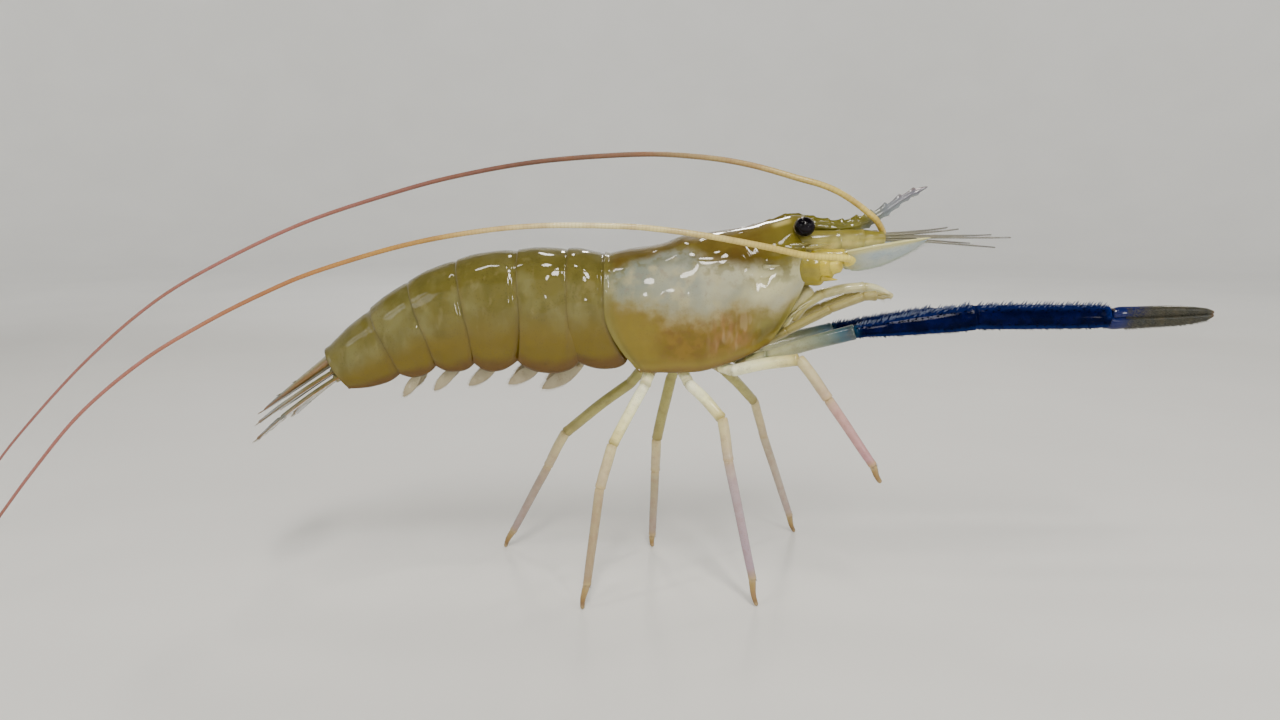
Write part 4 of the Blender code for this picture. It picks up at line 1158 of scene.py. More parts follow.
def tergite_at(index, share, row):
    """A point of one abdomen plate, with the tuck under the plate ahead and the proud hind rim."""
    s = SEGMENT_ENDS[index] + 5.0
    tuck, over = 2.6, 1.5
    for _ in range(4):
        top, _, margin, half_width = table_row(ABDOMEN_TABLE, s)
        rounding = 1.0 - 0.17 * abs(2 * share - 1) ** 2.4 * smooth_step(5.0, 7.0, row)
        y, rise = body_row(row, top, margin * rounding, half_width)
        depth = max(0.0, -rise / margin)
        front = seam(index, depth)
        if index == 0:
            front = CARAPACE_REAR - hind_edge(BODY_AXIS + rise)
        back = seam(index + 1, depth)
        reach = back + over * (1 - depth * 0.6) - (front - tuck * (1 - depth))
        s = front - tuck * (1 - depth) + reach * share
    inside = smooth_step(0.20, 0.0, share)
    lift = 0.30 * smooth_step(0.3, 1.0, share) - 0.75 * inside
    lift += 0.40 * sin(pi * max(0.0, min(1.0, (share - 0.22) / 0.78)))
    lift -= 0.22 * bump_at(share, 0.24, 0.05) * smooth_step(5.2, 3.5, row)
    lift += 0.20 * bump_at(row, 6.86, 0.1) - 0.12 * bump_at(row, 6.55, 0.14)
    if index == 1:
        lift += 0.45 * smooth_step(4.0, 6.0, row)
    if index == 0:
        lift -= 0.45 * smooth_step(4.0, 6.0, row) * smooth_step(0.5, 0.9, share)
    if index == 2:
        lift -= 0.45 * smooth_step(4.0, 6.0, row) * smooth_step(0.4, 0.1, share)
    centre, _, normal = axis_at(s)
    lift += noise.noise(Vector((s, y, rise)) * 0.2) * 0.2
    out_y, out_z = outward(row)
    place = centre + normal * (rise + lift * out_z)
    return place[0], y + lift * out_y, place[2]


class PRAWN_OT_abdomen(Operator):
    """Build the six overlapping plates of the abdomen and the soft underside"""
    bl_idname = "prawn.abdomen"
    bl_label = "Abdomen"

    def execute(self, context):
        for index in range(6):
            def place(u, v, index=index):
                x, y, z = tergite_at(index, u, from_crest(v) * LAST_ROW)
                return x, copysign(y, v - 0.5), z
            plate = change_across(sheet_mesh(52, 110, place), from_crest)
            add_piece(f"abdomen_plate_{index + 1}", plate, [abdomen_material(index + 1)], "abdomen_shell",
                      f"abdomen_{index + 1}", thickness=sizes().shell_thickness)
        self.underside()
        return {"FINISHED"}

    def underside(self):
        """Muscle under the plates with a bar across each joint."""
        def place(u, v):
            s = -8.0 + 101.5 * u
            top, under, _, half_width = table_row(ABDOMEN_TABLE, s)
            turn = TURN * v
            bar = sum(bump_at(s, (a + b) / 2 + 1.0, 1.4) for a, b in zip(SEGMENT_ENDS[:5], SEGMENT_ENDS[1:6]))
            shrink = closing(u, 0.02, 0.02)
            y = (half_width - 2.0) * 0.80 * cos(turn) * shrink
            high = (top - 3.5) if sin(turn) > 0 else (under - 0.4 + 0.7 * bar)
            rise = high * abs(sin(turn)) ** 0.8 * copysign(1, sin(turn)) * shrink
            centre, _, normal = axis_at(s)
            point = centre + normal * rise
            return point[0], y, point[2]
        material = limb_material("soft_underside_skin", ((0.0, "A99A72"), (0.5, "9F9268"), (1.0, "8F8050")),
                                 "8F8050", 0.45)
        add_piece("abdomen_underside", turn_outward(sheet_mesh(150, 48, place)), [material], "abdomen_shell")


class PRAWN_OT_core(Operator):
    """Build what fills the carapace and closes the head's front"""
    bl_idname = "prawn.core"
    bl_label = "Inner body"

    def execute(self, context):
        # x, top, middle, half width, bottom
        table = ((-13.0, 108.0, 94.5, 11.0, 84.0), (-5.0, 111.0, 95.0, 13.6, 80.5),
                 (10.0, 115.3, 96.0, 15.2, 78.5), (20.0, 117.0, 97.0, 15.8, 78.9),
                 (33.0, 119.2, 99.4, 14.4, 82.4), (43.0, 121.2, 103.0, 11.8, 88.6),
                 (49.0, 122.8, 107.0, 8.6, 95.5), (53.0, 121.6, 109.0, 6.6, 99.0),
                 (57.5, 114.0, 107.5, 5.6, 101.0))
        first, length, power = table[0][0], table[-1][0] - table[0][0], 0.85

        def place(u, v):
            x = first + length * u
            top, middle, half_width, bottom = table_row(table, x)
            turn, shrink = TURN * v, closing(u, 0.03, 0.04)
            rise = (top - middle) if sin(turn) > 0 else (middle - bottom)
            z = middle + copysign(abs(sin(turn)) ** power * rise, sin(turn)) * shrink
            return x, copysign(abs(cos(turn)) ** power * half_width, cos(turn)) * shrink, z
        skin = limb_material("inner_skin", ((0.0, "A39A70"), (0.6, "98905C"), (0.86, "8A8038"),
                                            (1.0, "94853C")), "8A8038", dot=0.45)
        add_piece("inner_body", turn_outward(sheet_mesh(90, 56, place)), [skin], "carapace_shell")
        parts = [self.sternum()]
        for points in (*LEGS.values(), *CLAWS.values()):
            parts += self.coxa(points)
        for side in SIDES.values():
            parts += self.coxa(((36.5, side * 6.2, 81.6), (47.0, side * 7.3, 86.8)), 0.8)
        pale = limb_material("sternum_and_hips", ((0.0, "B8B088"), (0.5, "C4BE96"), (1.0, "B0A468")),
                             "8E7A3C", dot=0.3)
        add_piece("sternum", parts, [pale], "carapace_shell", "thorax")
        return {"FINISHED"}

    def sternum(self):
        """The keeled floor between the hips, a bar across it at every pair of legs."""
        def profile(u, turn):
            bars = sum(bump_at(-1.0 + 41.0 * u, x, 2.2) for x in (3.6, 13.6, 24.5, 34.0))
            shrink = closing(u, 0.08, 0.1)
            return 4.8 * shrink, (1.9 + 0.6 * bars) * shrink
        # It lies just above the lower margins of the carapace.
        route = [(x, 0.0, table_row(CARAPACE_TABLE, x)[3] + 1.2) for x in (-1.0, 8.0, 17.0, 26.0, 33.0, 40.0)]
        return tube(Path(route, 60), profile, 60, 24)

    def coxa(self, points, size=1.0):
        """A hip: the stout ring that a limb turns on, with the arthrodial bulge inside it."""
        base, after = np.array(points[0], float), np.array(points[1], float)
        side = copysign(1.0, base[1])
        inner = np.array((base[0] - 0.3, side * 4.2, base[2] + 2.6))
        outer = base + (after - base) * 0.22
        hip = podomere(inner, outer, (2.5 * size, 2.35 * size), 1.08, neck=0.1, along=24, span=(0.0, 0.5))
        ring = podomere(base + (after - base) * 0.02, base + (after - base) * 0.42, (2.1 * size, 2.0 * size),
                        neck=0.15, along=16, span=(0.5, 1.0))
        return [hip, ring]


class PRAWN_OT_eyes(Operator):
    """Build the stalked eyes: olive stalks with a pale patch, dark glossy corneas"""
    bl_idname = "prawn.eyes"
    bl_label = "Eyes"

    def execute(self, context):
        radius = sizes().cornea_radius / MM
        skin = limb_material("eyestalk_skin", ((0.0, "786E2C"), (0.45, "7C7230"), (0.66, "A0965A"),
                                               (0.80, "7C7234"), (1.0, "5A4E26")), "6A5E2C", dot=0.3)
        glass = eye_material()
        cup = ((0.0, 1.9), (0.25, 1.6), (0.5, 2.0), (0.72, 2.75), (0.90, 3.30), (1.0, 3.36))
        centre_x, centre_y, centre_z = 52.8, 10.45, 121.8
        for tag, side in SIDES.items():
            route = Path([sided(point, side) for point in ((51.4, 0.8, 120.7), (52.4, 3.4, 121.4),
                                                           (52.7, 6.6, 121.7), (52.8, 10.0, 121.8))], 40)

            def profile(u, turn):
                width = table_row(cup, u)[0] * closing(u, 0.05, 0.03)
                return width * 1.02, width * 0.98
            stalk = tube(route, profile, 40, 32)
            add_piece(f"eyestalk_{tag}", stalk, [skin], "head_limbs", f"eyestalk_{tag}")

            def place(u, v, side=side):
                lean, turn = pi * u, TURN * v
                out, ring = cos(lean), radius * sin(lean)
                return (centre_x + ring * cos(turn) * 1.02,
                        side * (centre_y + radius * out * (0.97 if out > 0 else 1.0)),
                        centre_z + ring * sin(turn) * 0.97)
            ball = turn_outward(sheet_mesh(36, 56, place))
            add_piece(f"cornea_{tag}", ball, [glass], "eye", f"cornea_{tag}")
        return {"FINISHED"}


class PRAWN_OT_antennules(Operator):
    """Build the first antennae: three-jointed stems, each with its side spine and three whips"""
    bl_idname = "prawn.antennules"
    bl_label = "Antennules"

    def execute(self, context):
        # The stem's upper face is painted darker and its lower face painted light, against the light from
        # above.
        olive = limb_material("antennule_stem_cuticle", ((0.0, "8E8436"), (0.4, "B4AA58"), (0.75, "A89A3C")),
                              "90843A", dot=0.2, faces=("7A701C", "F4E694"))
        grey = limb_material("antennule_whip_cuticle", ((0.76, "7E7A60"), (1.0, "6E6E6C")), "7E7A60", dot=0.2)
        for tag, side in SIDES.items():
            # start, end, radii, flatness, share of the limb
            parts = [podomere(sided(start, side), sided(end, side), radii, flat, neck=0.02, flare=0.015,
                              span=span)
                     for start, end, radii, flat, span in (
                         ((50.5, 4.0, 116.4), (66.4, 4.4, 117.2), (3.0, 2.85), 0.84, (0.0, 0.42)),
                         ((63.6, 4.4, 117.1), (73.8, 4.4, 117.7), (2.8, 2.6), 0.84, (0.42, 0.60)),
                         ((70.6, 4.4, 117.6), (80.4, 4.3, 118.0), (2.55, 1.8), 0.90, (0.60, 0.75)))]
            parts.append(spine((52.5, side * 5.4, 114.9), (62.5, side * 6.9, 116.2), 1.1, 20, 12, (0.1, 0.3),
                               (0.0, side * 0.3, -0.1)))
            # height of the root, sideways spread at the tip, length, rise at the tip, phase of the waves
            for lift, spread, length, rise, phase in ((0.8, 2.0, 26.0, 1.2, 0.3), (0.0, 5.0, 42.0, 0.3, 1.1),
                                                      (-0.8, 8.0, 36.0, -0.9, 2.0)):
                route = []
                for step in range(9):
                    t = step / 8
                    route.append((77.8 + length * t,
                                  side * (4.1 + spread * t * t + 0.25 * sin(5 * t + phase)),
                                  118.0 + lift + rise * t * t * 2 + 0.3 * sin(4 * t + phase) * t))

                def profile(u, turn, length=length):
                    # One ring to the millimetre.
                    width = (0.52 - 0.28 * u) * (1 + 0.07 * sin(TURN * u * length))
                    width *= closing(u, 0.01, 0.01)
                    return width, width
                whip = tube(Path(route, 80), profile, int(length * 3.5), 10, (0.76, 1.0))
                parts.append(faced(whip, 2))
            parts.append(self.tuft(side))
            skins = [olive, hair_material(f"antennule_hairs_{tag}", "6E6238", "8E8A70"), grey]
            add_piece(f"antennule_{tag}", parts, skins, "head_limbs", f"antennule_{tag}")
        return {"FINISHED"}

    def tuft(self, side):
        """Short hairs at the far ends of the stem's joints."""
        chance = random.Random(21)
        hairs = []
        for (x, y, z), width in (((65.0, 4.0, 116.3), 2.2), ((71.8, 4.1, 117.1), 2.0),
                                 ((79.2, 4.2, 118.0), 1.6)):
            for _ in range(34):
                turn = chance.uniform(0, TURN)
                hairs.append(((x - 0.3, side * y + width * 0.92 * cos(turn),
                               z + width * 0.92 * sin(turn)),
                              (0.9, 0.35 * cos(turn), 0.35 * sin(turn)), chance.uniform(0.5, 1.1)))
        return hairs_mesh(hairs, 0.045)


class PRAWN_OT_antennae(Operator):
    """Build the second antennae: their stout bases, leaf-shaped scales and long ringed feelers"""
    bl_idname = "prawn.antennae"
    bl_label = "Antennae"

    def execute(self, context):
        # Its far end runs to pale lemon, partly its own yellow and partly a painted highlight where the
        # feeler turns out of it.
        yellow = limb_material("antenna_base_cuticle", ((0.0, "847A24"), (0.22, "988A22"), (0.4, "BAA630"),
                                                        (0.6, "DCC83C"), (1.0, "F0DC60")), "A08A2C", dot=0.25)
        blade_skin = scale_material()
        for tag, side in SIDES.items():
            joint, end = (np.array(point) for point in ANTENNA_ENDS[tag])
            root, middle = sided((50.6, 7.2, 108.0), side), sided((60.6, 9.0, 108.2), side)
            parts = [podomere(root, middle, (4.6, 4.9), 0.90, neck=0.02, flare=0.02, along=44, around=28,
                              span=(0.0, 0.4), rim=3.0),
                     podomere(middle - (middle - root) * 0.3, joint + (joint - middle) * 0.2, (4.6, 3.4),
                              0.94, neck=0.0, flare=0.02, along=30, around=24, span=(0.4, 0.7), rim=2.6),
                     podomere(joint - (end - joint) * 0.9, end, (3.2, 1.9), 0.97, neck=0.0, along=24,
                              span=(0.7, 1.0), rim=1.6),
                     spine((58.0, side * 11.6, 105.4), (63.6, side * 13.0, 105.0), 1.1, 16, 10, (0.3, 0.5)),
                     podomere((54.5, side * 9.0, 111.0), (67.0, side * 11.6, 112.6), (2.9, 2.0), 0.85,
                              neck=0.05, along=24, span=(0.2, 0.5), rim=2.4)]
            add_piece(f"antenna_base_{tag}", parts, [yellow], "head_limbs", f"antenna_base_{tag}")
            self.scale(tag, side, blade_skin)
            self.feeler(tag, feeler_material(tag))
        return {"FINISHED"}

    def scale(self, tag, side, skin):
        """The leaf outside each antenna: a straight thick outer rib, the blade hanging inward."""
        rib = [(63.6, side * 11.8, 112.9), (67.5, side * 12.5, 114.1), (75.6, side * 13.0, 115.7),
               (82.9, side * 13.0, 117.0), (90.0, side * 12.6, 118.0), (91.8, side * 12.5, 118.1)]
        edges = ((0.0, -6.4, 0.4), (0.06, -8.8, 0.5), (0.14, -10.4, 0.5), (0.42, -10.6, 0.5),
                 (0.60, -9.2, 0.5), (0.78, -6.8, 0.4), (0.90, -4.2, 0.3), (0.97, -1.8, 0.2), (1.0, -0.4, 0.0))

        def relief(u, across):
            outer_rib = 0.55 * bump_at(across, 0.93, 0.06) * smooth_step(1.02, 0.9, u)
            return outer_rib + 0.10 * bump_at(across, 0.1, 0.12)
        leaf = Leaf(rib, (0.0, side * 0.70, 0.714), edges, 0.30, relief, 0.05)
        hairs = leaf.fringe(150, 0.06, 0.985, 1.9, 31, (-1,), 0.05, 0.72)
        tooth = spine((88.0, side * 12.7, 117.8), (92.9, side * 12.9, 118.5), 0.55, 12, 8, (0.9, 1.0))
        # The tooth has the outer rib's colour.
        parts = [leaf.mesh(80, 72), change_across(tooth, lambda v: 1.0), hairs]
        skins = [skin, hair_material(f"scale_fringe_{tag}", "8E9A84", "B4BCA8")]
        add_piece(f"antenna_scale_{tag}", parts, skins, "antenna_scale", f"antenna_scale_{tag}")

    def feeler(self, tag, skin):
        """The long whip, its rings drawn in relief."""
        route = Path(FEELERS[tag], 500)

        def profile(u, turn):
            width = FEELER_ROOT + (FEELER_TIP - FEELER_ROOT) * u ** 0.8
            rings = 1 + 0.015 * sin(TURN * u * route.length / RING_PITCH)
            width *= rings * closing(u, 0.002, 0.002)
            return width, width
        add_piece(f"feeler_{tag}", tube(route, profile, 1300, 10), [skin], "feeler", f"feeler_{tag}_root",
                  f"feeler_{tag}_tip")


class PRAWN_OT_mouth_limbs(Operator):
    """Build the third maxillipeds, the slender first legs and the plates over the mouth"""
    bl_idname = "prawn.mouth_limbs"
    bl_label = "Mouth limbs"

    def execute(self, context):
        skin = limb_material("mouth_limb_cuticle", ((0.0, "B4A95E"), (0.4, "CCC488"), (0.8, "DAD5A8"),
                                                    (1.0, "E6DFB0")), "B4A45C", dot=0.2)
        olive = limb_material("first_leg_cuticle", ((0.0, "9C9250"), (0.5, "A09458"), (1.0, "AEA268")),
                              "8E8040", dot=0.25)
        for tag, side in SIDES.items():
            # How much lower the far half of the left limbs hangs.
            sink = 1.5 if tag == "L" else 0.0
            hairs = hair_material(f"mouth_limb_hairs_{tag}", "9A8E5C", "BEB48A")
            hip, knee, wrist, tip = (np.array((x, side * y, z - sink)) for x, y, z in (
                (50.2, 4.8, 90.6), (60.4, 5.2, 99.9), (74.2, 5.6, 102.1), (83.4, 5.4, 98.6)))
            bend = (54.2, side * 5.0, 95.6 - sink)
            parts = [podomere(hip, knee, (1.7, 1.7), 1.1, span=(0.0, 0.4), via=bend),
                     podomere(knee - (0.9, 0, 0.4), wrist, (1.6, 1.6), 1.0, 0.5, span=(0.4, 0.75)),
                     podomere(wrist - (0.9, 0, -0.1), tip, (1.55, 0.9), 1.0, 0.8, span=(0.75, 1.0)),
                     self.brush([hip, knee, wrist, tip], side)]
            add_piece(f"maxilliped_{tag}", parts, [skin, hairs], "leg_cream", f"maxilliped_{tag}")
            self.first_leg(tag, side, sink, olive, hairs)
            self.plates(tag, side, skin, hairs)
        return {"FINISHED"}

    def brush(self, points, side):
        """Stiff hairs in rows along the inner face of the maxilliped."""
        chance = random.Random(41)
        route = Path(points, 80)
        hairs = []
        for _ in range(420):
            u = chance.uniform(0.30, 0.99)
            centre, way, _, up = route.at(u)
            out = unit(np.array((0.0, -side * 0.7, 0.0)) - up * chance.uniform(0.3, 1.0))
            hairs.append((centre + out * (1.15 - 0.6 * u ** 3), out + way * chance.uniform(0.3, 0.8),
                          chance.uniform(0.8, 1.9)))
        return hairs_mesh(hairs, 0.045)

    def first_leg(self, tag, side, sink, skin, hair_skin):
        """Slender limb with a small pair of pincers; sink lowers its far half."""
        hip, ischium, merus, carpus, knuckle, tips = (np.array((x, side * y, z)) for x, y, z in (
            (37.0, 6.4, 81.9), (48.6, 7.4, 87.8), (62.5, 8.8, 95.3 - sink), (73.0, 9.6, 99.4 - sink),
            (77.4, 9.4, 99.6 - sink), (81.6, 9.0, 99.2 - sink)))
        parts = [podomere(hip, ischium, (1.6, 1.5), span=(0.0, 0.25)),
                 podomere(ischium - (0.8, 0, 0.4), merus, (1.4, 1.5), span=(0.25, 0.5)),
                 podomere(merus - (0.8, 0, 0.4), carpus, (1.35, 1.45), span=(0.5, 0.75)),
                 podomere(carpus - (0.8, 0, 0.1), knuckle, (1.35, 1.45), 0.9, span=(0.75, 0.9)),
                 *(spine(knuckle + (-0.4, 0, 0.45 * way), tips + (0, 0, 0.3 * way), 0.75, 24, 12, (0.9, 1.0),
                         (0, 0, 0.25 * way)) for way in (1, -1))]
        chance = random.Random(53)
        hairs = []
        for _ in range(160):
            u, turn = chance.uniform(0.0, 0.95), chance.uniform(0, TURN)
            out = np.array((0.0, cos(turn), sin(turn)))
            hairs.append((knuckle + (tips - knuckle) * u + out * (0.9 - 0.5 * u), out * 0.6 + (0.8, 0.0, 0.0),
                          chance.uniform(0.5, 1.2)))
        parts.append(hairs_mesh(hairs, 0.04))
        add_piece(f"first_leg_{tag}", parts, [skin, hair_skin], "leg_cream", f"leg1_{tag}")

    def plates(self, tag, side, skin, hairs):
        """Leaf-shaped first and second maxillipeds, one over the other."""
        parts = []
        for midline, width, seed in (
                (((43.5, 6.4, 85.0), (46.6, 6.4, 89.0), (49.6, 5.6, 93.2), (51.8, 4.2, 96.6)), 2.2, 61),
                (((46.0, 3.4, 87.0), (49.4, 3.2, 91.0), (52.2, 2.8, 95.0), (54.0, 2.0, 98.6)), 1.6, 62)):
            edges = ((0.0, -width * 0.5, width * 0.5), (0.3, -width, width * 0.9),
                     (0.7, -width * 0.9, width * 0.8), (0.92, -width * 0.5, width * 0.45), (1.0, -0.1, 0.1))
            midline = [sided(point, side) for point in midline]
            leaf = Leaf(midline, (0.55, side * 0.5, -0.6), edges, 0.5, None, 0.12)
            parts += [leaf.mesh(36, 28), leaf.fringe(60, 0.3, 0.98, 1.2, seed, (1,), 0.045)]
        for start, end in (((49.5, 6.2, 91.0), (57.5, 6.8, 98.4)), ((46.5, 6.6, 88.0), (54.5, 7.2, 96.0))):
            bend = (-0.8, side * 0.4, 0.8)
            parts.append(spine(sided(start, side), sided(end, side), 0.6, 24, 8, bend=bend))
        # The soft cheek between the mouth and the antenna's base.
        parts.append(podomere((45.5, side * 3.4, 90.5), (57.0, side * 3.6, 101.4), (3.4, 2.7), rim=2.4,
                              span=(0.2, 0.6)))
        add_piece(f"mouth_plates_{tag}", parts, [skin, hairs], "head_limbs")


class PRAWN_OT_legs(Operator):
    """Build the three pairs of walking legs, joint by joint"""
    bl_idname = "prawn.legs"
    bl_label = "Walking legs"

    def execute(self, context):
        # The right legs' cream runs up to near white, partly a painted highlight; the left legs' olive on the
        # far side is partly painted shade.
        cream = {tag: limb_material(f"leg_cream_cuticle_{tag}", stops, "8C8040", dot=0.3) for tag, stops in (
            ("R", ((0.0, "F4ECA4"), (0.35, "FFFFDA"), (0.7, "F8F4B8"), (1.0, "D4C47A"))),
            ("L", ((0.0, "A09A52"), (0.35, "A8A258"), (0.8, "A8A05E"), (1.0, "A09254"))))}
        lower_skins = {number: limb_material(
            f"leg_lower_cuticle_{number}", ((0.0, "D2C690"), (0.16, "C4B48C"), (0.36, middle), (0.78, late),
                                            (0.86, "A48C54"), (0.95, "8A6C38"), (1.0, "4A3420")),
            "C0A872", dot_hex="8A5A50", dot=0.3) for number, middle, late in (
                ("3_R", "C29A90", "B8868A"), ("4_R", "AE9C9E", "A48E9A"), ("5_R", "AC9A72", "A08C6C"),
                ("3_L", "B4A68E", "AE9C94"), ("4_L", "A89C78", "A08E80"), ("5_L", "A89884", "9C8A84"))}
        hairs = hair_material("leg_bristles", "8A7462", "A8988A")
        for name, points in LEGS.items():
            base, ischium, knee, wrist, ankle, tip = (np.array(point, float) for point in points)
            thigh = knee - ischium
            upper = [podomere(base + (ischium - base) * 0.12, ischium, (1.95, 1.85), span=(0.0, 0.3)),
                     podomere(ischium - thigh * 0.05, knee, (1.8, 1.75), 0.94, 0.5, 48, span=(0.3, 1.0)),
                     *hinge_pair(ischium, thigh, 1.6, 0.3)]
            add_piece(f"{name}_upper", upper, [cream[name[-1]]], "leg_cream", f"{name}_upper")
            # The feet keep just clear of the floor; the raised leg has no foot on it.
            toe = tip + (0.0, 0.0, 0.12 if "leg3_R" != name else 0.0)
            shin, foot, toe_way = wrist - knee, ankle - wrist, toe - ankle
            bow = (ankle + toe) / 2 + np.cross(toe_way, (0.0, 1.0, 0.0)) * -0.06
            lower = [podomere(knee - shin * 0.06, wrist, (1.68, 1.6), 0.96, 0.3, span=(0.0, 0.25)),
                     podomere(wrist - foot * 0.03, ankle, (1.5, 1.25), 0.96, span=(0.25, 0.85), along=60),
                     podomere(ankle - toe_way * 0.16, toe, (1.2, 0.62), 0.95, flare=0.0, span=(0.85, 1.0),
                              via=bow),
                     *hinge_pair(knee, shin, 1.55, 0.02), *hinge_pair(wrist, foot, 1.42, 0.25),
                     self.bristles(wrist, ankle, int(name[3]) * 7 + len(name))]
            add_piece(f"{name}_lower", lower, [lower_skins[name[3:]], hairs], "leg_lilac", f"{name}_lower")
        return {"FINISHED"}

    def bristles(self, wrist, ankle, seed):
        """Spinules under the last long joint and a tuft round its end."""
        chance = random.Random(seed)
        way = unit(ankle - wrist)
        under = unit(np.cross(way, (0.0, 1.0, 0.0)))
        under = under * (1 if under[0] > 0 else -1)
        side = np.cross(way, under)
        hairs = []
        for step in range(46):
            u = 0.12 + 0.86 * step / 46
            turn = chance.uniform(-0.5, 0.5)
            out = -under * cos(turn) + side * sin(turn)
            hairs.append((wrist + (ankle - wrist) * u + out * (1.22 - 0.25 * u), out * 0.5 + way,
                          chance.uniform(0.5, 0.9)))
        for _ in range(60):
            turn = chance.uniform(0, TURN)
            out = under * cos(turn) + side * sin(turn)
            hairs.append((ankle - way * chance.uniform(0.2, 1.4) + out * 0.95, out * 0.45 + way,
                          chance.uniform(0.7, 1.4)))
        return hairs_mesh(hairs, 0.05)


class PRAWN_OT_claws(Operator):
    """Build the great blue claws: pale arms, spiny navy wrists and palms, felted fingers"""
    bl_idname = "prawn.claws"
    bl_label = "Great claws"

    def execute(self, context):
        pale = limb_material("claw_arm_cuticle", ((0.0, "C0BA80"), (0.45, "A8A880"), (0.75, "6E7A68"),
                                                  (0.9, "345460"), (1.0, "0E2E48")), "3E5248", dot=0.3)
        # The row spines' pale grey-blue tips are painted glints.
        armour = [claw_material(), hair_material("claw_spinules", "010310", "06103A", 0.6, 0.0, 0.02),
                  hair_material("claw_row_spines", "1A2854", "74829E", 0.4, 0.4)]
        felt = [felt_material(), hair_material("claw_finger_felt", "35352C", "6E6A5A", 0.7)]
        for tag, points in CLAWS.items():
            hip, ischium, elbow, wrist, knuckle, tip = (np.array(point, float) for point in points)
            upper = elbow - ischium
            arm = [podomere(hip + (ischium - hip) * 0.12, ischium, (1.95, 2.15), span=(0.0, 0.3), neck=0.2),
                   podomere(ischium - upper * 0.03, elbow, (1.85, 2.3), 0.95, 0.5, span=(0.3, 1.0), along=56),
                   *hinge_pair(ischium, upper, 2.0, 0.3, (0.0, 0.0, 1.0))]
            add_piece(f"claw_arm_{tag}", arm, [pale], "claw_arm_pale", f"claw_{tag}_merus")
            palm_end = knuckle + (tip - knuckle) * 0.03
            self.armoured(f"claw_wrist_{tag}", elbow, wrist, WRIST_RADII, 0.95, (0.0, 0.5), 420, 71, armour,
                          f"claw_{tag}_carpus")
            self.armoured(f"claw_palm_{tag}", wrist, palm_end, PALM_RADII, 0.96, (0.5, 1.0), 480, 72, armour,
                          f"claw_{tag}_palm")
            self.finger(f"claw_finger_fixed_{tag}", knuckle, tip, -1, FIXED_RADII, -0.02, 81, felt)
            self.finger(f"claw_finger_movable_{tag}", knuckle, tip, 1, MOVABLE_RADII, 0.035, 82, felt,
                        f"claw_{tag}_finger")
        return {"FINISHED"}

    def armoured(self, name, start, end, radii, flat, span, count, seed, skins, node):
        """A long claw joint covered in forward-leaning spinules, stronger ones in rows."""
        path = Path([start - (end - start) * 0.03, (start + end) / 2, end], 80)
        length = path.length

        def profile(u, turn):
            radius = table_row(radii, u)[0] * closing(u, 0.7 / length, 0.9 / length)
            radius *= 1 + 0.02 * cos(6 * turn) - 0.04 * bump_at(u, 1 - 2.4 / length, 0.9 / length)
            return radius * flat, radius / flat

        def joint(u):
            return exp(-((1 - u) * length / 2.0) ** 2)
        mesh = tube(path, profile, 110, 40, span, joint)
        way = (end - start) / length

        def keep(point, normal):
            return 0.02 < (point - start) @ way / length < 0.975
        parts = [mesh, spinules_on(mesh, count, seed, way, keep)]
        chance = random.Random(seed)
        # Rows of strong spines: turn of the row in degrees from the side, spines, longest in mm, material.
        # The rows on top take material 2, whose pale tips are painted glints; the others stay dark.
        for row, steps, longest, skin in ((90, 46, 2.4, 2), (68, 38, 2.2, 2), (112, 38, 2.2, 2),
                                          (40, 24, 1.5, 1), (140, 24, 1.5, 1), (-35, 20, 1.0, 1),
                                          (215, 20, 1.0, 1), (-90, 22, 1.1, 1)):
            spines = []
            for step in range(steps):
                u = 0.04 + 0.93 * (step + chance.uniform(-0.4, 0.4)) / steps
                turn = radians(row + chance.uniform(-9.0, 9.0))
                centre, forward, side, up = path.at(u)
                out = side * cos(turn) + up * sin(turn)
                spines.append((centre + out * (table_row(radii, u)[0] - 0.15), out * 0.75 + forward * 0.55,
                               chance.uniform(0.45, 1.0) * longest))
            parts.append(hairs_mesh(spines, 0.3, skin=skin))
        add_piece(name, parts, skins, "claw_blue", node)

    def finger(self, name, knuckle, tip, sign, radii, start, seed, skins, *nodes):
        """The fixed finger below (sign -1) or the movable one above, with cutting teeth and felt."""
        length = np.linalg.norm(tip - knuckle)
        way = (tip - knuckle) / length
        route = []
        for t in np.linspace(start, 1.0, 14):
            gap = FINGER_GAP * table_row(radii, (t - start) / (1 - start))[0]
            if sign < 0:
                gap *= smooth_step(-0.08, 0.09, t)
            route.append(knuckle + way * length * t + (0.0, 0.0, sign * gap - 0.5))

        def profile(u, turn):
            radius = table_row(radii, u)[0] * closing(u, 0.02, 0.02)
            cutting = sin(turn) * -sign
            flatten = 1 - 0.10 * smooth_step(0.2, 1.0, cutting)
            teeth = 0.5 * (bump_at(u, 0.14, 0.02) + 0.8 * bump_at(u, 0.24, 0.022))
            return radius * 0.92, radius * flatten + teeth * smooth_step(0.6, 1.0, cutting)

        def keep(point, normal):
            share = (point - knuckle) @ way / length
            return 0.16 < share < 0.93 and normal[2] * -sign < 0.75 and normal[2] < 0.8
        mesh = tube(Path(route, 80), profile, 90, 28, (0.0, 1.0) if sign > 0 else (0.14, 1.0))
        points, normals, generator = surface_samples(mesh, 2600, seed, keep)
        ways = normals * 0.75 + way * 0.55 + generator.normal(0, 0.18, normals.shape)
        lengths = FELT_LENGTH * (0.6 + 0.8 * generator.random(len(points)))
        parts = [mesh, hairs_mesh(zip(points - normals * 0.05, ways, lengths), 0.055, way * 0.12)]
        if sign > 0:
            # Its hinge is marked by a span past 1, which the finger's material reads as bare horn.
            parts += hinge_pair(knuckle + way * 1.4 + (0, 0, 2.4), way, 1.8, 2.0)
        add_piece(name, parts, skins, "claw_velvet", *nodes)


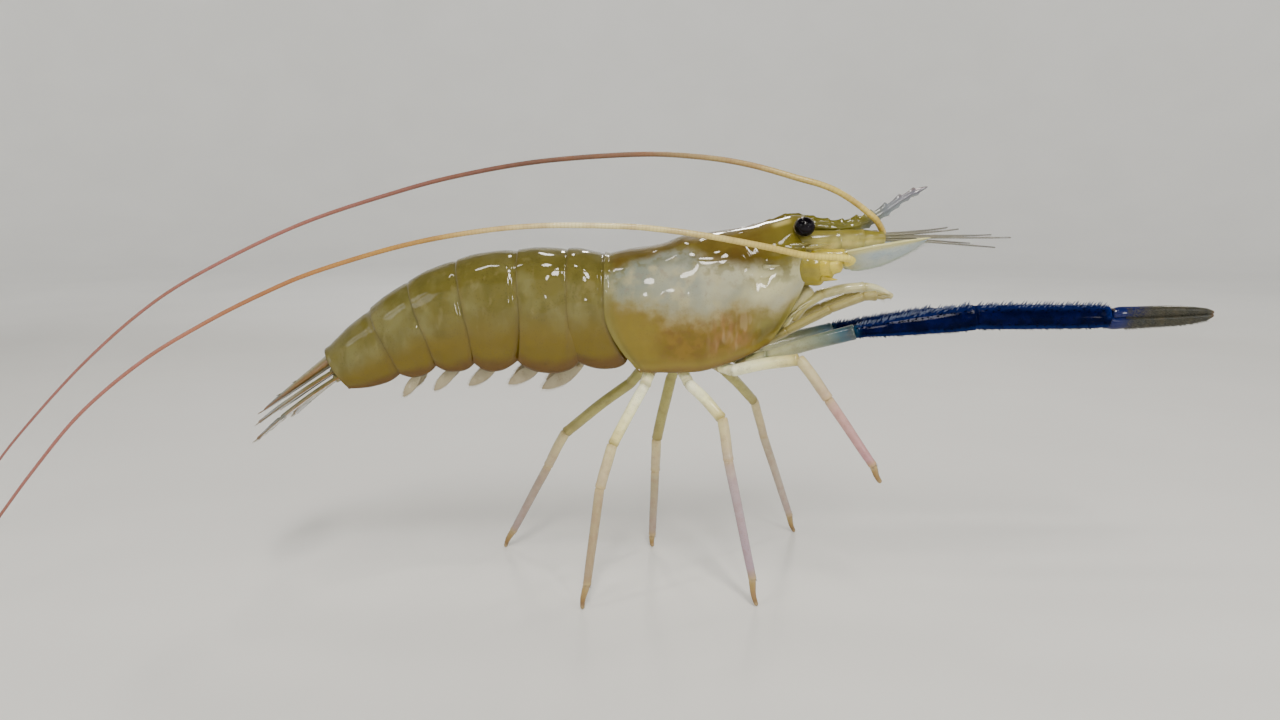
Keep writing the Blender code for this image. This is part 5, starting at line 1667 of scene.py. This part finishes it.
class PRAWN_OT_tail_fan(Operator):
    """Build the telson and the two pairs of uropods with their fringes"""
    bl_idname = "prawn.tail_fan"
    bl_label = "Tail fan"

    def execute(self, context):
        centre, back, normal = axis_at(SEGMENT_ENDS[-1])
        skin, hairs = fan_material(), hair_material("tail_fringe", "6A5A34", "9A8A68")
        wide = np.array((0.0, 1.0, 0.0))
        # share of the length, half width, half height
        table = ((0.0, 5.7, 2.5), (0.12, 5.5, 2.7), (0.35, 4.9, 2.3), (0.7, 3.2, 1.5), (0.93, 1.7, 0.8),
                 (1.0, 0.6, 0.4))
        blade, rise, fall = 33.6, 4.3, 2.6
        route = Path([centre + back * (-1.5 + blade * t) + normal * (rise - fall * t)
                      for t in (0, 0.33, 0.66, 1.0)], 60)

        def profile(u, turn):
            half_width, half_height = table_row(table, u)
            shrink = closing(u, 0.03, 0.02)
            if sin(turn) <= 0:
                return half_width * shrink, half_height * 0.6 * shrink
            groove = 0.45 * bump_at(cos(turn), 0.0, 0.28) * smooth_step(0.1, 0.3, u)
            return half_width * shrink, (half_height - groove) * shrink
        parts = [change_across(tube(route, profile, 80, 44), over_width)]
        for u, offset in ((0.52, 2.6), (0.74, 1.9)):
            for side in (-1, 1):
                spot = route.at(u)[0] + wide * side * offset + normal * (table_row(table, u)[1] * 0.75)
                parts.append(spine(spot - back * 0.4, spot + back * 1.6 + normal * 0.3, 0.3, span=(0.6, 0.8)))
        end = route.at(1.0)[0]
        for side, reach, out in ((-1, 3.0, 1.1), (1, 3.0, 1.1), (-1, 1.5, 1.5), (1, 1.5, 1.5)):
            spot = end - back * 0.9 + wide * side * 0.5
            parts.append(spine(spot, spot + back * reach + wide * side * out, 0.26, 12, 8, (0.9, 1.0)))
        parts.append(self.setae(end, back, wide, normal))
        add_piece("telson", parts, [skin, hairs], "tail_fan", "telson")
        for tag, side in SIDES.items():
            # sideways place of the root, length, half width, height, droop, turn outward in degrees
            for name, start, length, half_width, height, droop, spread, seed in (
                    ("inner", 3.6, 32.0, 4.6, 0.6, 1.5, 11.0, 91),
                    ("outer", 4.6, 34.0, 5.6, -1.8, 3.4, 25.0, 95)):
                turn = radians(side * spread)
                heading = back * cos(turn) + wide * sin(turn)
                root = centre + back * 0.4 + wide * side * start + normal * height
                midline = [root + heading * length * t - normal * droop * t * t
                           for t in (0, 0.25, 0.5, 0.75, 1.0)]
                self.uropod(f"uropod_{tag}_{name}", midline, side, half_width, name == "outer",
                            [skin, hairs], seed)
        return {"FINISHED"}

    def setae(self, end, back, wide, normal):
        """Long hairs on the telson's end."""
        chance = random.Random(90)
        hairs = []
        for _ in range(60):
            across = chance.uniform(-1, 1)
            hairs.append((end - back * (0.4 + 0.6 * across * across) + wide * across * 0.9,
                          back + wide * across * 0.5 + normal * chance.uniform(-0.1, 0.1),
                          chance.uniform(2.0, 3.4)))
        return hairs_mesh(hairs, 0.05, levels=3)

    def uropod(self, name, midline, side, half_width, outer, skins, seed):
        """A ribbed leaf; the outer one has a straight outer edge with a tooth and a hinge line."""
        # share of the length, inner and outer edge as shares of the half width
        shape = ((0.0, -0.4, 0.4), (0.15, -0.75, 0.7), (0.4, -1.0, 0.95), (0.7, -1.0, 0.95),
                 (0.88, -0.75, 0.7), (0.96, -0.4, 0.35))
        if outer:
            shape = ((0.0, -0.35, 0.35), (0.12, -0.7, 0.55), (0.35, -0.98, 0.8), (0.62, -1.05, 0.9),
                     (0.74, -1.0, 0.86), (0.86, -0.78, 0.62), (0.95, -0.42, 0.3))
        edges = [(at, near * half_width, far * half_width) for at, near, far in shape]
        edges.append((1.0, -0.15, 0.15))

        def relief(u, across):
            ribs = 0.42 * bump_at(across, 0.05, 0.10) + 0.25 * bump_at(across, 0.85, 0.08)
            lift = ribs * smooth_step(1.0, 0.7, u)
            if outer:
                lift -= 0.30 * bump_at(u, 0.70 + 0.03 * across, 0.012)
            return lift + 0.05 * sin(across * 26)
        leaf = Leaf(midline, (0.0, side, 0.0), edges, 0.5, relief, 0.08)
        hair = sizes().hair / MM
        fringe = leaf.fringe(130, 0.30, 0.995, hair, seed, (-1,), 0.055, 0.6)
        ends = leaf.fringe(60, 0.74 if outer else 0.45, 0.995, hair, seed + 1, (1,), 0.055, 0.6)
        parts = [leaf.mesh(90, 64), fringe, ends]
        if outer:
            spot, way = leaf.point(0.70, 0.98), leaf.frame(0.70)[1]
            parts.append(spine(spot - way * 1.5, spot + way * 1.6, 0.45, 12, 8, (0.8, 0.9)))
        stem, way = midline[0], unit(midline[1] - midline[0])
        parts.append(podomere(stem - way * 1.6, stem + way * 3.4, (1.9, 1.7), 1.25, neck=0.1, along=20,
                              span=(0.0, 0.15)))
        add_piece(name, parts, skins, "tail_fan", name)


class PRAWN_OT_swimmerets(Operator):
    """Build the five pairs of swimming legs: stems with two fringed leaves each"""
    bl_idname = "prawn.swimmerets"
    bl_label = "Swimmerets"

    def execute(self, context):
        skin = limb_material("swimmeret_cuticle", ((0.0, "A89C74"), (0.5, "B0A684"), (1.0, "9A8E72")),
                             "7E6430", dot=0.45)
        hairs = hair_material("swimmeret_fringe", "8A7A58", "B0A488")
        for index in range(5):
            s = (SEGMENT_ENDS[index] + SEGMENT_ENDS[index + 1]) / 2 + 1.0
            centre, back, normal = axis_at(s)
            under = table_row(ABDOMEN_TABLE, s)[1]
            size = 1.0 - 0.09 * index
            root = centre - normal * (under + 0.6)
            bar = Path([root + (0, y, 0) - normal * 0.3 for y in (-7.0, 0.0, 7.0)], 20)

            def profile(u, turn):
                shrink = closing(u, 0.1, 0.1)
                return 1.4 * shrink, 0.9 * shrink
            parts = [tube(bar, profile, 20, 14)]
            for side in SIDES.values():
                hip = root + (0, side * 6.0, 0) - normal * 0.4
                knee = hip - normal * 6.5 * size + back * 2.4
                parts.append(podomere(hip + normal * 1.2, knee, (1.9 * size, 1.6 * size), 1.25, along=24,
                                      neck=0.05, span=(0.0, 0.4)))
                heading = unit(back * 0.86 - normal * 0.5)
                for lean, length, width, seed in ((1.6, 15.0, 2.4, 1), (-1.6, 13.0, 2.1, 2)):
                    midline = [knee + normal * 0.6 - back * 0.6 + (0, side * lean * min(1.0, t * 1.6), 0)
                               + heading * length * size * t for t in (0.0, 0.3, 0.65, 1.0)]
                    edges = [(at, -share * width * size, share * width * size) for at, share in (
                        (0.0, 0.4), (0.25, 0.9), (0.55, 1.0), (0.85, 0.6))] + [(1.0, -0.1, 0.1)]
                    leaf = Leaf(midline, normal + back * 0.4, edges, 0.35, None, 0.1)
                    hair_seed = 100 + index * 4 + seed
                    parts += [leaf.mesh(28, 20, (0.4, 1.0)),
                              leaf.fringe(44, 0.2, 0.98, 1.6 * size, hair_seed, (-1, 1), 0.05, 0.7)]
            name = f"swimmerets_{index + 1}"
            add_piece(name, parts, [skin, hairs], "swimmeret", name)
        return {"FINISHED"}


class PRAWN_OT_stage(Operator):
    """Set the floor, the lights and the camera"""
    bl_idname = "prawn.stage"
    bl_label = "Stage"

    def execute(self, context):
        # A round bowl in metres: flat floor, quarter bend, upright wall.
        flat, bend, height = 1.4, 0.8, 1.6
        turns = [radians(90.0 * step / 12) for step in range(13)]
        line = [(0.0, 0.0), *((flat + bend * sin(turn), bend * (1 - cos(turn))) for turn in turns),
                (flat + bend, height)]
        shape = bmesh.new()
        points = [shape.verts.new((x, 0.0, z)) for x, z in line]
        edges = [shape.edges.new(pair) for pair in zip(points, points[1:])]
        bmesh.ops.spin(shape, geom=points + edges, cent=(0, 0, 0), axis=(0, 0, 1), angle=TURN,
                       steps=96, use_merge=True)
        bmesh.ops.remove_doubles(shape, verts=shape.verts, dist=0.0001)
        bmesh.ops.recalc_face_normals(shape, faces=shape.faces)
        bmesh.ops.reverse_faces(shape, faces=shape.faces)
        bowl = finished_mesh(shape)
        floor = bpy.data.objects.new("studio_bowl", bowl)
        bowl.materials.append(floor_material())
        bpy.context.scene.collection.objects.link(floor)
        world = bpy.data.worlds.new("studio_air")
        world.use_nodes = True
        background = world.node_tree.nodes["Background"]
        background.inputs["Color"].default_value = paint("E6E8EA")
        background.inputs["Strength"].default_value = 0.2
        bpy.context.scene.world = world
        # Small lamps give the wet glints, wide ones at the sides the soft light, four more light the bowl.
        # place in metres, size, power in watts
        for x, y, z, size, power in ((0.12, -0.56, 0.84, 0.12, 4.6), (0.02, -0.72, 0.67, 0.07, 1.2),
                                     (0.36, -0.52, 0.81, 0.05, 0.4), (0.39, -0.78, 0.47, 0.03, 0.15),
                                     (0.58, -0.76, 0.15, 0.05, 0.7), (0.0, -0.91, 0.19, 0.03, 0.25),
                                     (0.08, 0.72, 0.64, 0.06, 1.3), (-0.03, 0.43, 0.90, 0.06, 0.8),
                                     (-0.29, -0.20, 0.91, 0.06, 0.7), (-0.02, -0.26, 0.98, 0.04, 0.5),
                                     (0.66, 0.48, 0.69, 0.06, 0.9)):
            self.light("glint_lamp", (x, y, z), (0.03, 0.0, 0.1), size, power, "FFFAF2", 3.3)
        for x, y, z, power in ((-1.1, -0.9, 0.75, 2.6), (1.15, -0.85, 0.75, 2.8)):
            self.light("soft_lamp", (x, y, z), (0.0, 0.0, 0.06), 0.7, power, "F4F8FF")
        for x, y in ((0.6, 0.0), (-0.6, 0.0), (0.0, 0.6), (0.0, -0.6)):
            self.light("wall_lamp", (x, y, 1.0), (x * 3, y * 3, 0.9), 1.2, 10.8, "FFFFFF")
        self.camera()
        return {"FINISHED"}

    def light(self, name, place, aim, size, power, tint, tall=1.0):
        """An oval lamp; tall is its height as a share of its width."""
        lamp = bpy.data.lights.new(name, "AREA")
        lamp.shape = "ELLIPSE"
        lamp.size = size
        lamp.size_y = size * tall
        lamp.energy = power
        lamp.color = linear(tint)
        holder = bpy.data.objects.new(name, lamp)
        holder.location = Vector(place)
        holder.rotation_euler = (Vector(aim) - Vector(place)).to_track_quat("-Z", "Y").to_euler()
        holder.visible_camera = False
        bpy.context.scene.collection.objects.link(holder)

    def camera(self):
        """Eye level with the back, looking 10 degrees down at the right side."""
        focal_pixels, width_pixels, sensor = 989.0, 1280.0, 36.0
        distance, height, pitch = 330.0, 134.8, 10.0
        lens = bpy.data.cameras.new("camera")
        lens.sensor_width = sensor
        lens.lens = sensor * focal_pixels / width_pixels
        lens.clip_start = 0.01
        holder = bpy.data.objects.new("camera", lens)
        holder.location = (HOME + Vector((0.0, -distance, height))) * MM
        holder.rotation_euler = (radians(90.0 - pitch), 0.0, 0.0)
        bpy.context.scene.collection.objects.link(holder)
        bpy.context.scene.camera = holder


class PRAWN_PT_panel(Panel):
    """Lists the prawn's building steps"""
    bl_idname = "PRAWN_PT_panel"
    bl_label = "Giant River Prawn"
    bl_space_type = "VIEW_3D"
    bl_region_type = "UI"
    bl_category = "Prawn"

    def draw(self, context):
        for operator in OPERATORS:
            self.layout.operator(operator.bl_idname)


OPERATORS = (PRAWN_OT_stage, PRAWN_OT_carapace, PRAWN_OT_rostrum, PRAWN_OT_core, PRAWN_OT_eyes,
             PRAWN_OT_antennules, PRAWN_OT_antennae, PRAWN_OT_mouth_limbs, PRAWN_OT_legs, PRAWN_OT_claws,
             PRAWN_OT_abdomen, PRAWN_OT_swimmerets, PRAWN_OT_tail_fan)
CLASSES = (PrawnSizes, PrawnColours, *OPERATORS, PRAWN_PT_panel)


def register():
    """Make the prawn's properties, operators and panel known."""
    for cls in CLASSES:
        bpy.utils.register_class(cls)
    bpy.types.Scene.prawn_sizes = PointerProperty(type=PrawnSizes)
    bpy.types.Scene.prawn_colours = PointerProperty(type=PrawnColours)


def unregister():
    """Take them away again, last first."""
    del bpy.types.Scene.prawn_colours
    del bpy.types.Scene.prawn_sizes
    for cls in reversed(CLASSES):
        bpy.utils.unregister_class(cls)


def main():
    """Build the stage and all pieces."""
    register()
    for operator in OPERATORS:
        getattr(bpy.ops.prawn, operator.bl_idname.split(".")[1])()
    bpy.context.view_layer.update()


if __name__ == "__main__":
    main()
